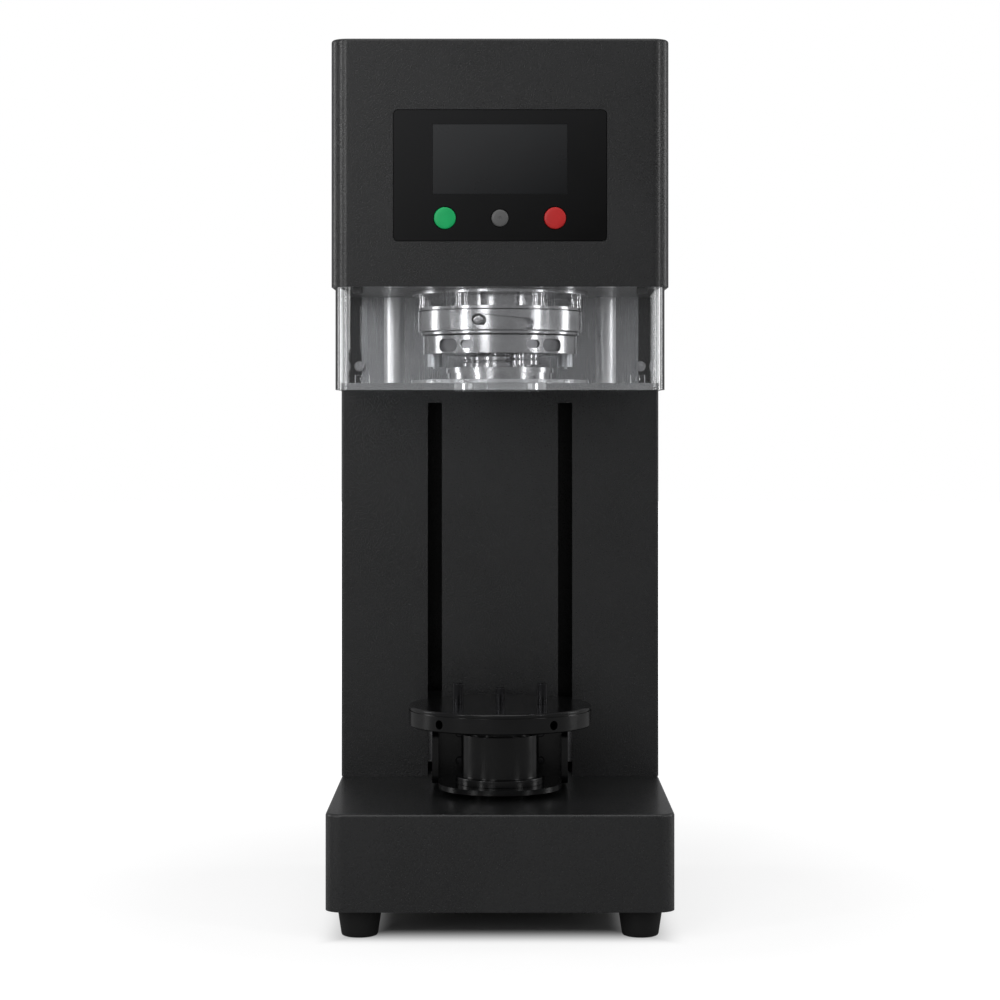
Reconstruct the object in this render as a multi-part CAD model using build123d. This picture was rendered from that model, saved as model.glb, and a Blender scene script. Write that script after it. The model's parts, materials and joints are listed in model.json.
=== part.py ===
from build123d import *
import os
from math import asin, atan, cos, degrees, hypot, pi, radians, sin, sqrt, tan

# Cup sealing machine: a C-shaped bench machine that rolls a lid onto a cup or can.
# Millimetres. X right, Y towards the back, Z up. The origin is the middle of the
# bounding box's bottom face.

# ---- Case: driving sizes ----
BODY_WIDTH = 240.0
BODY_DEPTH = 300.0
FOOT_HEIGHT = 20.0
BASE_HEIGHT = 67.0
COLUMN_HEIGHT = 362.0
COLUMN_DEPTH = 116.0
HEAD_HEIGHT = 172.0
HEAD_WIDTH = 235.0
HEAD_SETBACK = 24.0
CORNER_RADIUS = 11.0
EDGE_RADIUS = 2.0
SHEET = 2.0
HEAD_SHEET = 2.5
FIT_GAP = 0.4
RUNNING_GAP = 0.05
MOVING_GAP = 1.0

BASE_Z = FOOT_HEIGHT
BASE_TOP = BASE_Z + BASE_HEIGHT
HEAD_Z = BASE_TOP + COLUMN_HEIGHT
HEAD_TOP = HEAD_Z + HEAD_HEIGHT
FRONT_Y = -BODY_DEPTH / 2
BACK_Y = BODY_DEPTH / 2
COLUMN_Y = BACK_Y - COLUMN_DEPTH
HEAD_Y = FRONT_Y + HEAD_SETBACK

# ---- Working axis of the lift table and the seamer ----
AXIS_SETBACK = 100.0
AXIS_Y = FRONT_Y + AXIS_SETBACK

# ---- Feet and base fittings ----
FOOT_TOP_RADIUS = 15.8
FOOT_BOTTOM_RADIUS = 12.7
FOOT_INSET = 25.0
FOOT_X = BODY_WIDTH / 2 - 22.8
FOOT_SCREW_RADIUS = 2.0
FOOT_HEAD_RADIUS = 4.5
FOOT_HEAD_DEPTH = 6.0
SUPPLY_WIDTH = 159.0
SUPPLY_DEPTH = 97.0
SUPPLY_HEIGHT = 30.0
SUPPLY_SETBACK = 15.0

# ---- Lift drive in the column ----
SLOT_WIDTH = 10.8
SLOT_X = 49.3
SLOT_TOP_BELOW_HEAD = 79.5
ROD_RADIUS = 6.0
ROD_X = 75.0
DRIVE_Y = BACK_Y - 58.0
SCREW_RADIUS = 6.0
JOURNAL_RADIUS = 4.0
PLATE_THICKNESS = 7.0
UPPER_PLATE_BELOW_HEAD = 49.0
PLATE_DEPTH = 80.0
LIFT_MOTOR_SIDE = 56.0
LIFT_MOTOR_HEIGHT = 46.0
BLOCK_WIDTH = 200.0
BLOCK_DEPTH = 30.0
BLOCK_HEIGHT = 40.0
LINEAR_BEARING_RADIUS = 10.5
LINEAR_BEARING_LENGTH = 30.0
NUT_RADIUS = 11.0
NUT_FLANGE_RADIUS = 16.0
NUT_FLANGE = 4.0
LIFT_TRAVEL = 200.0

# ---- Lift table ----
REST_GAP = 0.8
BOSS_HEIGHT = 3.2
BOSS_RADIUS = 20.0
TRAY_THICKNESS = 3.6
TRAY_RADIUS = 44.9
HUB_RING_RADIUS = 32.0
HUB_RING_HEIGHT = 5.4
HUB_RADIUS = 28.0
HUB_HEIGHT = 30.0
PISTON_RADIUS = 22.5
PISTON_LENGTH = 14.0
NECK_HEIGHT = 6.6
TABLE_RADIUS = 66.0
TABLE_RIM_HEIGHT = 11.1
TABLE_GROOVE = 0.7
TABLE_PLATE_HEIGHT = 2.6
TABLE_TRAVEL = 6.0
PIN_RADIUS = 3.75
PIN_HEIGHT = 15.5
PIN_SPACING = 30.4
CENTRE_PIN_RADIUS = 3.45
CENTRE_PIN_HEIGHT = 12.3
SPANNER_HOLE_RADIUS = 3.25
SPANNER_HOLE_DEPTH = 9.0
SPANNER_ANGLES = (-40.5, 35.0)
ARM_THICKNESS = 4.6
ARM_HEIGHT = 39.0
ARM_FRONT = 15.0
SPRING_WIRE = 1.8
SPRING_RADIUS = 14.0
SPRING_TURNS = 2.5

TRAY_Z = BASE_TOP + REST_GAP + BOSS_HEIGHT
HUB_RING_Z = TRAY_Z + TRAY_THICKNESS
HUB_Z = HUB_RING_Z + HUB_RING_HEIGHT
HUB_TOP = HUB_Z + HUB_HEIGHT
TABLE_Z = HUB_TOP + NECK_HEIGHT
TABLE_PLATE_Z = TABLE_Z + TABLE_RIM_HEIGHT + TABLE_GROOVE
TABLE_TOP = TABLE_PLATE_Z + TABLE_PLATE_HEIGHT
ARM_X = SLOT_X - SLOT_WIDTH / 2 + MOVING_GAP
ARM_Y = AXIS_Y + ARM_FRONT
BLOCK_Z = TRAY_Z + MOVING_GAP

# ---- Guard ----
GUARD_WIDTH = 230.0
GUARD_SETBACK = 4.0
GUARD_HEIGHT = 71.5
GUARD_WALL = 3.0
GUARD_FLOOR = 4.8
GUARD_FLANGE = 15.0
FLOOR_BORE = 34.0
FLOOR_RING_OUTER = 64.0
FLOOR_RING_INNER = 50.0
FLOOR_RING_HEIGHT = 3.0
SPLASH_WIDTH = 209.0
SPLASH_SHEET = 1.4
FLUTE_X = 80.0
FLUTE_RADIUS = 25.0
FLUTE_RISE = 1.2
GUIDE_RADIUS = 37.75
GUIDE_FLANGE_RADIUS = 39.0
GUIDE_HEIGHT = 8.2
GUIDE_FLANGE = 3.5
GUARD_SCREW_X = 106.0
GUARD_SCREW_HEIGHT = 19.5

GUARD_Y = HEAD_Y + GUARD_SETBACK
GUARD_Z = HEAD_Z - GUARD_HEIGHT
GUARD_FLOOR_TOP = GUARD_Z + GUARD_FLOOR

# ---- Seamer, measured down from the underside of the head ----
FLANGE_RADIUS = 63.5
FLANGE_THICKNESS = 3.0
HOUSING_RADIUS = 33.5
BEARING_OUTER = 27.5
BEARING_WIDTH = 13.0
BEARING_SPACER = 7.0
HOUSING_LIP = 1.0
HOUSING_DROP = 12.0
POST_RADIUS = 5.0
POST_CIRCLE = 54.0
POST_COUNT = 6
SPINDLE_RADIUS = 15.0
SLEEVE_FLANGE = 2.1
SLEEVE_FLANGE_RADIUS = 58.5
SLEEVE_WALL = 3.85
CAM_RADIUS = 59.2
CAM_INNER = 53.0
CAM_HEIGHT = 15.0
CAM_SWEEP = 34.0
CAM_DROP = 3.0
CAM_PIN_ANGLE = -15.1
CAM_PIN_COUNT = 3
CAM_SHANK_RADIUS = 2.5
CAM_BALL_RADIUS = 3.7
CAM_SLOT_GAP = 0.3
CAM_GAP = 0.3
RETAINER = 2.0
THRUST_INNER = 40.0
THRUST_HEIGHT = 11.5
THRUST_WEB = 4.0
RACE_HEIGHT = 4.8
RACE_INNER = 22.0
RACE_OUTER = 32.0
CONE_SLEEVE = 24.0
CONE_FLANGE = 2.5
TURRET_RADIUS = 55.5
TURRET_RIM = 2.5
TURRET_HEIGHT = 12.5
TURRET_FLOOR = 3.0
TURRET_COVER = 3.5
TURRET_HUB = 19.0
PIVOT_CIRCLE = 47.0
PIVOT_RADIUS = 3.0
PIVOT_HEAD_RADIUS = 5.4
PIVOT_HEAD_HEIGHT = 9.0
LEVER_THICKNESS = 5.0
LEVER_WIDTH = 8.0
ROLLER_CIRCLE = 36.0
ROLLER_ANGLE = 150.0
ROLLER_RADIUS = 9.5
ROLLER_HEIGHT = 7.0
ROLLER_PIN_RADIUS = 2.5
ROLLER_PIN_HEAD = 0.7
LEVER_SWING = 6.3
CHUCK_RADIUS = 21.5
CHUCK_NOSE_RADIUS = 19.5
CHUCK_NOSE = 5.0
CHUCK_HEIGHT = 8.5
CHUCK_SHAFT_RADIUS = 8.0

SLEEVE_TOP = HEAD_Z - HOUSING_DROP
CAM_TOP = SLEEVE_TOP - SLEEVE_FLANGE - CAM_GAP
CAM_Z = CAM_TOP - CAM_HEIGHT
RETAINER_TOP = CAM_Z - CAM_GAP
SLEEVE_OUTER = CAM_INNER - RUNNING_GAP
SLEEVE_INNER = SLEEVE_OUTER - SLEEVE_WALL
TURRET_TOP = RETAINER_TOP - RETAINER - MOVING_GAP
TURRET_Z = TURRET_TOP - TURRET_HEIGHT
CAM_PIN_Z = CAM_Z + CAM_HEIGHT / 2
THRUST_OUTER = SLEEVE_INNER - RUNNING_GAP
THRUST_Z = CAM_PIN_Z - THRUST_HEIGHT / 2
CHUCK_TOP = TURRET_Z - MOVING_GAP

# ---- Cam drive gears ----
GEAR_MODULE = 1.5
RING_TEETH = 84
PINION_TEETH = 16
GEAR_PRESSURE_ANGLE = 20.0
GEAR_BACKLASH = 0.35
GEAR_HEIGHT = 12.0
MESH_ANGLE = 64.0
CAM_MOTOR_RADIUS = 12.0
CAM_MOTOR_HEIGHT = 25.0
CAM_SHAFT_RADIUS = 3.0

# ---- Spindle drive in the head ----
FLOOR_PLATE = 3.0
SPINDLE_PULLEY = 38.2
MOTOR_PULLEY = 19.1
PULLEY_FLANGE = 3.6
BELT_WIDTH = 12.0
BELT_THICKNESS = 2.0
PULLEY_HEIGHT = 18.0
PULLEY_RISE = 31.0
MOTOR_DISTANCE = 125.0
MOTOR_RADIUS = 38.0
MOTOR_HEIGHT = 88.0
MOTOR_SHAFT_RADIUS = 5.0
BRIDGE_WIDTH = 140.0
BRIDGE_SHEET = 5.0
BRIDGE_Z = HEAD_Z + FLOOR_PLATE + PULLEY_RISE + PULLEY_HEIGHT + 4.0

# ---- Control panel ----
BEZEL_WIDTH = 147.6
BEZEL_HEIGHT = 90.7
BEZEL_RADIUS = 3.0
BEZEL_RISE = 77.0
BEZEL_RIM = 4.0
BEZEL_BACK = 2.0
SCREEN_WIDTH = 93.2
SCREEN_HEIGHT = 48.4
SCREEN_RISE = 11.3
BUTTON_DROP = 29.6
BUTTON_SPACING = 38.2
BUTTON_RADIUS = 7.6
GREY_BUTTON_RADIUS = 5.95
BUTTON_PROUD = 0.8
BUTTON_TRAVEL = 1.5
BUTTON_STEM = 3.0
BUTTON_CAP = 8.0

BEZEL_Z = HEAD_Z + BEZEL_RISE
BUTTON_Z = BEZEL_Z - BUTTON_DROP
SCREEN_Z = BEZEL_Z + SCREEN_RISE

# ---- Rear fittings ----
REAR_RECESS = 2.0
REAR_LIP = 12.0
INLET_X = -70.0
INLET_Z = BASE_TOP + 43.0
INLET_WIDTH = 60.0
INLET_HEIGHT = 30.0
INLET_DEPTH = 28.0
SOCKET_X = INLET_X - 12.0
SOCKET_WIDTH = 24.5
SOCKET_HEIGHT = 17.0
SOCKET_DEPTH = 18.0
BLADE_RECESS = 6.0
ROCKER_X = INLET_X + 13.0
ROCKER_WIDTH = 13.2
ROCKER_HEIGHT = 20.4
ROCKER_THICKNESS = 8.0
ROCKER_TILT = 8.0
TRUNNION_RADIUS = 1.5
TRUNNION_LENGTH = 2.0
CASE_SCREW_RADIUS = 1.9
CASE_HEAD_RADIUS = 3.8
CASE_HEAD = 1.8
CASE_SCREW_LENGTH = 8.0


# ---- Helpers ----
def rod(radius, z0, z1, x=0.0, y=AXIS_Y):
    """A vertical cylinder."""
    return Pos(x, y, (z0 + z1) / 2) * Cylinder(radius, z1 - z0)


def ring(outer, inner, z0, z1, x=0.0, y=AXIS_Y):
    """A vertical tube or washer."""
    return rod(outer, z0, z1, x, y) - rod(inner, z0 - 1, z1 + 1, x, y)


def slab(x0, x1, y0, y1, z0, z1):
    """A plain block between two corners."""
    centre = Pos((x0 + x1) / 2, (y0 + y1) / 2, (z0 + z1) / 2)
    return centre * Box(x1 - x0, y1 - y0, z1 - z0)


def rounded_slab(x0, x1, y0, y1, z0, z1, radius):
    """A block with its four upright edges rounded."""
    face = RectangleRounded(x1 - x0, y1 - y0, radius)
    return Pos((x0 + x1) / 2, (y0 + y1) / 2, z0) * extrude(face, z1 - z0)


def rod_y(radius, y0, y1, x, z):
    """A cylinder that runs front to back."""
    return Pos(x, (y0 + y1) / 2, z) * Rot(90, 0, 0) * Cylinder(radius, y1 - y0)


def around_axis(shape, angle):
    """The shape turned about the working axis."""
    return Pos(0, AXIS_Y, 0) * Rot(0, 0, angle) * Pos(0, -AXIS_Y, 0) * shape


def radial(shape, angle, radius, z):
    """A shape built along +Y, set pointing outwards; angle 0 is the front, positive to the right."""
    return Pos(0, AXIS_Y, z) * Rot(0, 0, 180 + angle) * Pos(0, radius, 0) * shape


def bar(x0, y0, x1, y1, width, z0, z1):
    """A flat bar with round ends, between two points measured from the working axis."""
    length = hypot(x1 - x0, y1 - y0)
    turn = degrees(asin((y1 - y0) / length))
    turn = turn if x1 >= x0 else 180 - turn
    face = SlotCenterToCenter(length, width)
    centre = Pos((x0 + x1) / 2, AXIS_Y + (y0 + y1) / 2, z0)
    return centre * Rot(0, 0, turn) * extrude(face, z1 - z0)


def coil(radius, wire, height, turns, x, y, z0):
    """A compression spring standing at z0, with its wire inside the stated height."""
    rise = height - wire
    path = Helix(rise / turns, rise, radius)
    start = Plane(path @ 0, z_dir=path % 0)
    return Pos(x, y, z0 + wire / 2) * sweep(start * Circle(wire / 2), path)


def save(name, *solids):
    """Writes one sub-part, a group of separate solids where it has more than one."""
    shape = solids[0] if len(solids) == 1 else Compound(children=list(solids))
    shape.label = name
    export_step(shape, f"parts/{name}.step")


# ---- Base ----
def base_shell():
    half = BODY_WIDTH / 2
    body = rounded_slab(-half, half, FRONT_Y, BACK_Y, BASE_Z, BASE_TOP, CORNER_RADIUS)
    body = fillet(body.faces().sort_by(Axis.Z)[-1].edges(), EDGE_RADIUS)
    inside = rounded_slab(
        -half + SHEET, half - SHEET, FRONT_Y + SHEET, BACK_Y - SHEET,
        BASE_Z - 1, BASE_TOP - SHEET, CORNER_RADIUS - SHEET,
    )
    reach = ROD_X + LINEAR_BEARING_RADIUS
    well = slab(
        -reach, reach, DRIVE_Y - BLOCK_DEPTH, DRIVE_Y + BLOCK_DEPTH,
        BASE_TOP - 2 * SHEET, BASE_TOP + 1,
    )
    return body - inside - well


def foot_points():
    front = FRONT_Y + FOOT_INSET
    back = BACK_Y - FOOT_INSET
    return [(x, y) for x in (-FOOT_X, FOOT_X) for y in (front, back)]


def base_plate():
    half = BODY_WIDTH / 2 - SHEET
    plate = rounded_slab(
        -half, half, FRONT_Y + SHEET, BACK_Y - SHEET, BASE_Z, BASE_Z + SHEET,
        CORNER_RADIUS - SHEET,
    )
    for x, y in foot_points():
        plate -= rod(FOOT_SCREW_RADIUS, BASE_Z - 1, BASE_Z + SHEET + 1, x, y)
    vent = extrude(SlotOverall(60, 3.5), SHEET + 2)
    for row in range(5):
        plate -= Pos(0, BACK_Y - 18 - 7 * row, BASE_Z - 1) * vent
    return plate


def rubber_foot(x, y):
    profile = Polyline(
        (0, 0), (FOOT_BOTTOM_RADIUS, 0), (FOOT_TOP_RADIUS, FOOT_HEIGHT), (0, FOOT_HEIGHT), close=True
    )
    foot = revolve(Plane.XZ * make_face(profile), Axis.Z)
    foot = Pos(x, y, 0) * foot
    foot -= rod(FOOT_HEAD_RADIUS + FIT_GAP, -1, FOOT_HEAD_DEPTH, x, y)
    return foot - rod(FOOT_SCREW_RADIUS, 0, FOOT_HEIGHT + 1, x, y)


def foot_screw(x, y):
    head_height = 3.0
    nut_height = 3.2
    head = rod(FOOT_HEAD_RADIUS, FOOT_HEAD_DEPTH - head_height, FOOT_HEAD_DEPTH, x, y)
    shank = rod(FOOT_SCREW_RADIUS, FOOT_HEAD_DEPTH - 1, BASE_Z + SHEET + nut_height + 1, x, y)
    nut = Pos(x, y, BASE_Z + SHEET) * extrude(RegularPolygon(4.0, 6), nut_height)
    return head + shank + nut


def power_supply():
    y0 = FRONT_Y + SUPPLY_SETBACK
    z0 = BASE_Z + SHEET
    half = SUPPLY_WIDTH / 2
    box = slab(-half, half, y0, y0 + SUPPLY_DEPTH, z0, z0 + SUPPLY_HEIGHT)
    pocket_width = 14.0
    pocket = slab(
        half - pocket_width, half + 1, y0 + 8, y0 + SUPPLY_DEPTH - 8,
        z0 + SUPPLY_HEIGHT / 2, z0 + SUPPLY_HEIGHT + 1,
    )
    return box - pocket


# ---- Column ----
def column_shell():
    half = BODY_WIDTH / 2
    outer = slab(-half, half, COLUMN_Y, BACK_Y, BASE_TOP, HEAD_Z)
    front_edges = outer.edges().filter_by(Axis.Z).sort_by(Axis.Y)[:2]
    outer = fillet(front_edges, EDGE_RADIUS)
    inside = slab(-half + SHEET, half - SHEET, COLUMN_Y + SHEET, BACK_Y + 1, BASE_TOP - 1, HEAD_Z + 1)
    shell = outer - inside
    slot_top = HEAD_Z - SLOT_TOP_BELOW_HEAD
    for side in (-1, 1):
        shell -= slab(
            side * SLOT_X - SLOT_WIDTH / 2, side * SLOT_X + SLOT_WIDTH / 2,
            COLUMN_Y - 1, COLUMN_Y + SHEET + 1, BASE_TOP - 1, slot_top,
        )
        lip_y = BACK_Y - 2 * REAR_RECESS
        edge = side * (half - SHEET)
        lip = slab(
            min(edge, edge - side * REAR_LIP), max(edge, edge - side * REAR_LIP),
            lip_y - SHEET, lip_y, BASE_TOP, HEAD_Z,
        )
        for x, z in panel_screw_points():
            lip -= rod_y(CASE_SCREW_RADIUS, lip_y - SHEET - 1, lip_y + 1, x, z)
        shell += lip
        shell -= rod_y(
            CASE_SCREW_RADIUS, COLUMN_Y - 1, COLUMN_Y + SHEET + 1,
            side * GUARD_SCREW_X, GUARD_Z + GUARD_SCREW_HEIGHT,
        )
    return shell


def panel_screw_points():
    x = BODY_WIDTH / 2 - SHEET - REAR_LIP / 2
    middle = (BASE_TOP + HEAD_Z) / 2
    return [(s * x, z) for s in (-1, 1) for z in (BASE_TOP + 16, middle, HEAD_Z - 16)]


def column_back_panel():
    half = BODY_WIDTH / 2 - SHEET
    y0 = BACK_Y - 2 * REAR_RECESS
    y1 = BACK_Y - REAR_RECESS
    panel = slab(-half, half, y0, y1, BASE_TOP, HEAD_Z)
    for x, z in panel_screw_points():
        panel -= rod_y(CASE_SCREW_RADIUS, y0 - 1, y1 + 1, x, z)
    panel -= slab(
        INLET_X - INLET_WIDTH / 2 + 4, INLET_X + INLET_WIDTH / 2 - 4, y0 - 1, y1 + 1,
        INLET_Z - INLET_HEIGHT / 2 + 3, INLET_Z + INLET_HEIGHT / 2 - 3,
    )
    louvre = Rot(90, 0, 0) * extrude(SlotOverall(80, 4), 2 * REAR_RECESS + 2, both=True)
    for row in range(8):
        panel -= Pos(0, y0, HEAD_Z - 60 - 9 * row) * louvre
    return panel


def case_screw(x, y, z, towards_back):
    """A pan-head screw whose head sits against the plane y; its shank runs the other way."""
    side = 1 if towards_back else -1
    head_end = y + side * CASE_HEAD
    shank_end = y - side * CASE_SCREW_LENGTH
    head = rod_y(CASE_HEAD_RADIUS, min(y, head_end), max(y, head_end), x, z)
    shank = rod_y(CASE_SCREW_RADIUS, min(y, shank_end), max(y, shank_end), x, z)
    slot_depth = 0.9
    groove_y = head_end - side * slot_depth
    groove = slab(
        x - CASE_HEAD_RADIUS, x + CASE_HEAD_RADIUS, min(head_end, groove_y), max(head_end, groove_y),
        z - 0.5, z + 0.5,
    )
    return head + shank - groove


def case_screws():
    panel_y = BACK_Y - REAR_RECESS
    rear = [case_screw(x, panel_y, z, True) for x, z in panel_screw_points()]
    flange_y = COLUMN_Y - SPLASH_SHEET - GUARD_WALL
    z = GUARD_Z + GUARD_SCREW_HEIGHT
    return rear + [case_screw(side * GUARD_SCREW_X, flange_y, z, False) for side in (-1, 1)]


def power_inlet():
    panel_y = BACK_Y - REAR_RECESS
    flange_y = BACK_Y - 0.2
    x0 = INLET_X - INLET_WIDTH / 2
    x1 = INLET_X + INLET_WIDTH / 2
    z0 = INLET_Z - INLET_HEIGHT / 2
    z1 = INLET_Z + INLET_HEIGHT / 2
    flange = slab(x0, x1, panel_y, flange_y, z0, z1)
    flange = fillet(flange.edges().filter_by(Axis.Y), 3.0)
    body = slab(x0 + 4, x1 - 4, panel_y - INLET_DEPTH, panel_y + 0.1, z0 + 3, z1 - 3)
    module = flange + body
    socket = slab(
        SOCKET_X - SOCKET_WIDTH / 2, SOCKET_X + SOCKET_WIDTH / 2, flange_y - SOCKET_DEPTH, flange_y + 1,
        INLET_Z - SOCKET_HEIGHT / 2, INLET_Z + SOCKET_HEIGHT / 2,
    )
    socket = chamfer(socket.edges().filter_by(Axis.Y).sort_by(Axis.Z)[-2:], 3.5)
    module -= socket
    blade_gap = 7.0
    for shift, rise in ((-blade_gap, -2.0), (0.0, 2.0), (blade_gap, -2.0)):
        module += slab(
            SOCKET_X + shift - 1, SOCKET_X + shift + 1, flange_y - SOCKET_DEPTH - 1, flange_y - BLADE_RECESS,
            INLET_Z + rise - 2, INLET_Z + rise + 2,
        )
    pocket_side = ROCKER_WIDTH / 2 + FIT_GAP
    pocket_rise = hypot(ROCKER_HEIGHT, ROCKER_THICKNESS) / 2 + FIT_GAP
    module -= slab(
        ROCKER_X - pocket_side, ROCKER_X + pocket_side, rocker_y() - 7, flange_y + 1,
        INLET_Z - pocket_rise, INLET_Z + pocket_rise,
    )
    reach = 2 * (pocket_side + TRUNNION_LENGTH)
    return module - Pos(ROCKER_X, rocker_y(), INLET_Z) * Rot(0, 90, 0) * Cylinder(TRUNNION_RADIUS + RUNNING_GAP, reach)


def rocker_y():
    reach = ROCKER_HEIGHT / 2 * sin(radians(ROCKER_TILT)) + ROCKER_THICKNESS / 2
    return BACK_Y - 0.6 - reach


def power_rocker():
    """Modelled in its off position, top edge proud."""
    block = Box(ROCKER_WIDTH, ROCKER_THICKNESS, ROCKER_HEIGHT)
    block = fillet(block.edges().filter_by(Axis.X), 1.2)
    dish = Pos(0, ROCKER_HEIGHT * 1.5 + ROCKER_THICKNESS / 2 - 1.6, 0)
    dish *= Rot(0, 90, 0) * Cylinder(ROCKER_HEIGHT * 1.5, ROCKER_WIDTH + 2)
    trunnions = Rot(0, 90, 0) * Cylinder(TRUNNION_RADIUS, ROCKER_WIDTH + 2 * TRUNNION_LENGTH)
    return Pos(ROCKER_X, rocker_y(), INLET_Z) * Rot(-ROCKER_TILT, 0, 0) * (block - dish + trunnions)


# ---- Lift drive ----
def plate_holes(plate, z0, z1, screw_radius):
    for side in (-1, 1):
        plate -= rod(ROD_RADIUS, z0 - 1, z1 + 1, side * ROD_X, DRIVE_Y)
    return plate - rod(screw_radius, z0 - 1, z1 + 1, 0, DRIVE_Y)


def plate_span(upper):
    if upper:
        top = HEAD_Z - UPPER_PLATE_BELOW_HEAD
    else:
        top = BASE_TOP - SHEET
    return top - PLATE_THICKNESS, top


def bearing_plates():
    y0 = DRIVE_Y - PLATE_DEPTH / 2
    y1 = DRIVE_Y + PLATE_DEPTH / 2
    low_z0, low_z1 = plate_span(False)
    half = ROD_X + LIFT_MOTOR_SIDE / 2 + SHEET
    lower = slab(-half, half, y0, y1, low_z0, low_z1)
    lower = plate_holes(lower, low_z0, low_z1, SCREW_RADIUS + MOVING_GAP)
    top_z0, top_z1 = plate_span(True)
    inner = BODY_WIDTH / 2 - SHEET
    upper = slab(-inner, inner, y0, y1, top_z0, top_z1)
    upper = plate_holes(upper, top_z0, top_z1, 11.0)
    return lower, upper


def guide_rods():
    z0 = plate_span(False)[0]
    z1 = plate_span(True)[1]
    return [rod(ROD_RADIUS, z0, z1, side * ROD_X, DRIVE_Y) for side in (-1, 1)]


def lift_motor():
    z1 = plate_span(False)[0]
    half = LIFT_MOTOR_SIDE / 2
    body = slab(-half, half, DRIVE_Y - half, DRIVE_Y + half, z1 - LIFT_MOTOR_HEIGHT, z1)
    body = chamfer(body.edges().filter_by(Axis.Z), 5.0)
    return body - rod(JOURNAL_RADIUS + RUNNING_GAP, z1 - 30, z1 + 1, 0, DRIVE_Y)


def lead_screw():
    low = plate_span(False)[0]
    top_z0, top_z1 = plate_span(True)
    thread = rod(SCREW_RADIUS, low + FIT_GAP, top_z0 - FIT_GAP, 0, DRIVE_Y)
    return thread + rod(JOURNAL_RADIUS, low - 28, top_z1 + 2, 0, DRIVE_Y)


def ball_bearings():
    top_z0, top_z1 = plate_span(True)
    screw = ring(11.0, JOURNAL_RADIUS + RUNNING_GAP, top_z0, top_z1, 0, DRIVE_Y)
    first = SLEEVE_TOP + HOUSING_LIP
    second = first + BEARING_WIDTH + BEARING_SPACER
    inner = SPINDLE_RADIUS + RUNNING_GAP
    spindle = [ring(BEARING_OUTER, inner, z, z + BEARING_WIDTH) for z in (first, second)]
    return [screw] + spindle


def limit_switches():
    """Two micro switches on the right wall of the column, at the ends of the travel."""
    inner = BODY_WIDTH / 2 - SHEET
    x0 = BLOCK_WIDTH / 2 + 3 + MOVING_GAP
    solids = []
    for z in (flag_z(), flag_z() + LIFT_TRAVEL):
        solids.append(slab(x0, inner, DRIVE_Y - 10, DRIVE_Y + 10, z - 6, z + 6))
    return solids


def flag_z():
    return BLOCK_Z + BLOCK_HEIGHT / 2


# ---- Carriage ----
def carriage_block():
    half = BLOCK_WIDTH / 2
    y0 = DRIVE_Y - BLOCK_DEPTH / 2
    block = slab(-half, half, y0, y0 + BLOCK_DEPTH, BLOCK_Z, BLOCK_Z + BLOCK_HEIGHT)
    for side in (-1, 1):
        block -= rod(LINEAR_BEARING_RADIUS, BLOCK_Z - 1, BLOCK_Z + BLOCK_HEIGHT + 1, side * ROD_X, DRIVE_Y)
    block -= rod(NUT_RADIUS, BLOCK_Z - 1, BLOCK_Z + BLOCK_HEIGHT + 1, 0, DRIVE_Y)
    flag = slab(half - 1, half + 3, DRIVE_Y - 4, DRIVE_Y + 4, flag_z() - 2, flag_z() + 2)
    return block + flag


def linear_bearings():
    z0 = BLOCK_Z + (BLOCK_HEIGHT - LINEAR_BEARING_LENGTH) / 2
    z1 = z0 + LINEAR_BEARING_LENGTH
    inner = ROD_RADIUS + RUNNING_GAP
    return [ring(LINEAR_BEARING_RADIUS, inner, z0, z1, side * ROD_X, DRIVE_Y) for side in (-1, 1)]


def lead_nut():
    top = BLOCK_Z + BLOCK_HEIGHT
    body = ring(NUT_RADIUS, SCREW_RADIUS + RUNNING_GAP, BLOCK_Z + 8, top, 0, DRIVE_Y)
    return body + ring(NUT_FLANGE_RADIUS, SCREW_RADIUS + RUNNING_GAP, top, top + NUT_FLANGE, 0, DRIVE_Y)


def carriage_arm(side):
    inner = side * ARM_X
    outer = side * (ARM_X + ARM_THICKNESS)
    y1 = DRIVE_Y - BLOCK_DEPTH / 2
    arm = slab(min(inner, outer), max(inner, outer), ARM_Y, y1, TRAY_Z, TRAY_Z + ARM_HEIGHT)
    front_edges = arm.edges().filter_by(Axis.X).sort_by(Axis.Y)[:2]
    arm = fillet(front_edges, 6.0)
    window = slab(
        min(inner, outer) - 1, max(inner, outer) + 1, ARM_Y + 38, COLUMN_Y - 6, TRAY_Z + 12,
        TRAY_Z + ARM_HEIGHT - 10,
    )
    return arm - fillet(window.edges().filter_by(Axis.X), 5.0)


def carriage_tray():
    """The bent bracket between the arms: a floor with a round front, and an upright web at its back."""
    back = AXIS_Y + TRAY_RADIUS
    floor = rod(TRAY_RADIUS - 0.5, TRAY_Z, HUB_RING_Z)
    floor += slab(-ARM_X, ARM_X, AXIS_Y + 16, back, TRAY_Z, HUB_RING_Z)
    side_cut = slab(ARM_X, ARM_X + 20, AXIS_Y - 60, back + 1, TRAY_Z - 1, HUB_RING_Z + 1)
    floor -= side_cut
    floor -= Pos(-2 * ARM_X - 20, 0, 0) * side_cut
    web = slab(-ARM_X, ARM_X, back - TRAY_THICKNESS, back, TRAY_Z, TRAY_Z + ARM_HEIGHT)
    boss = rod(BOSS_RADIUS, BASE_TOP + REST_GAP, TRAY_Z)
    return floor + web + boss


def table_hub():
    hub = rod(HUB_RING_RADIUS, HUB_RING_Z, HUB_Z) + rod(HUB_RADIUS, HUB_Z, HUB_TOP)
    return hub - rod(PISTON_RADIUS + RUNNING_GAP, hub_floor_z(), HUB_TOP + 1)


def hub_floor_z():
    return HUB_Z + 2.0


def table_spring():
    height = HUB_TOP - PISTON_LENGTH - hub_floor_z() - 0.4
    return coil(SPRING_RADIUS, SPRING_WIRE, height, SPRING_TURNS, 0, AXIS_Y, hub_floor_z() + 0.2)


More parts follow.
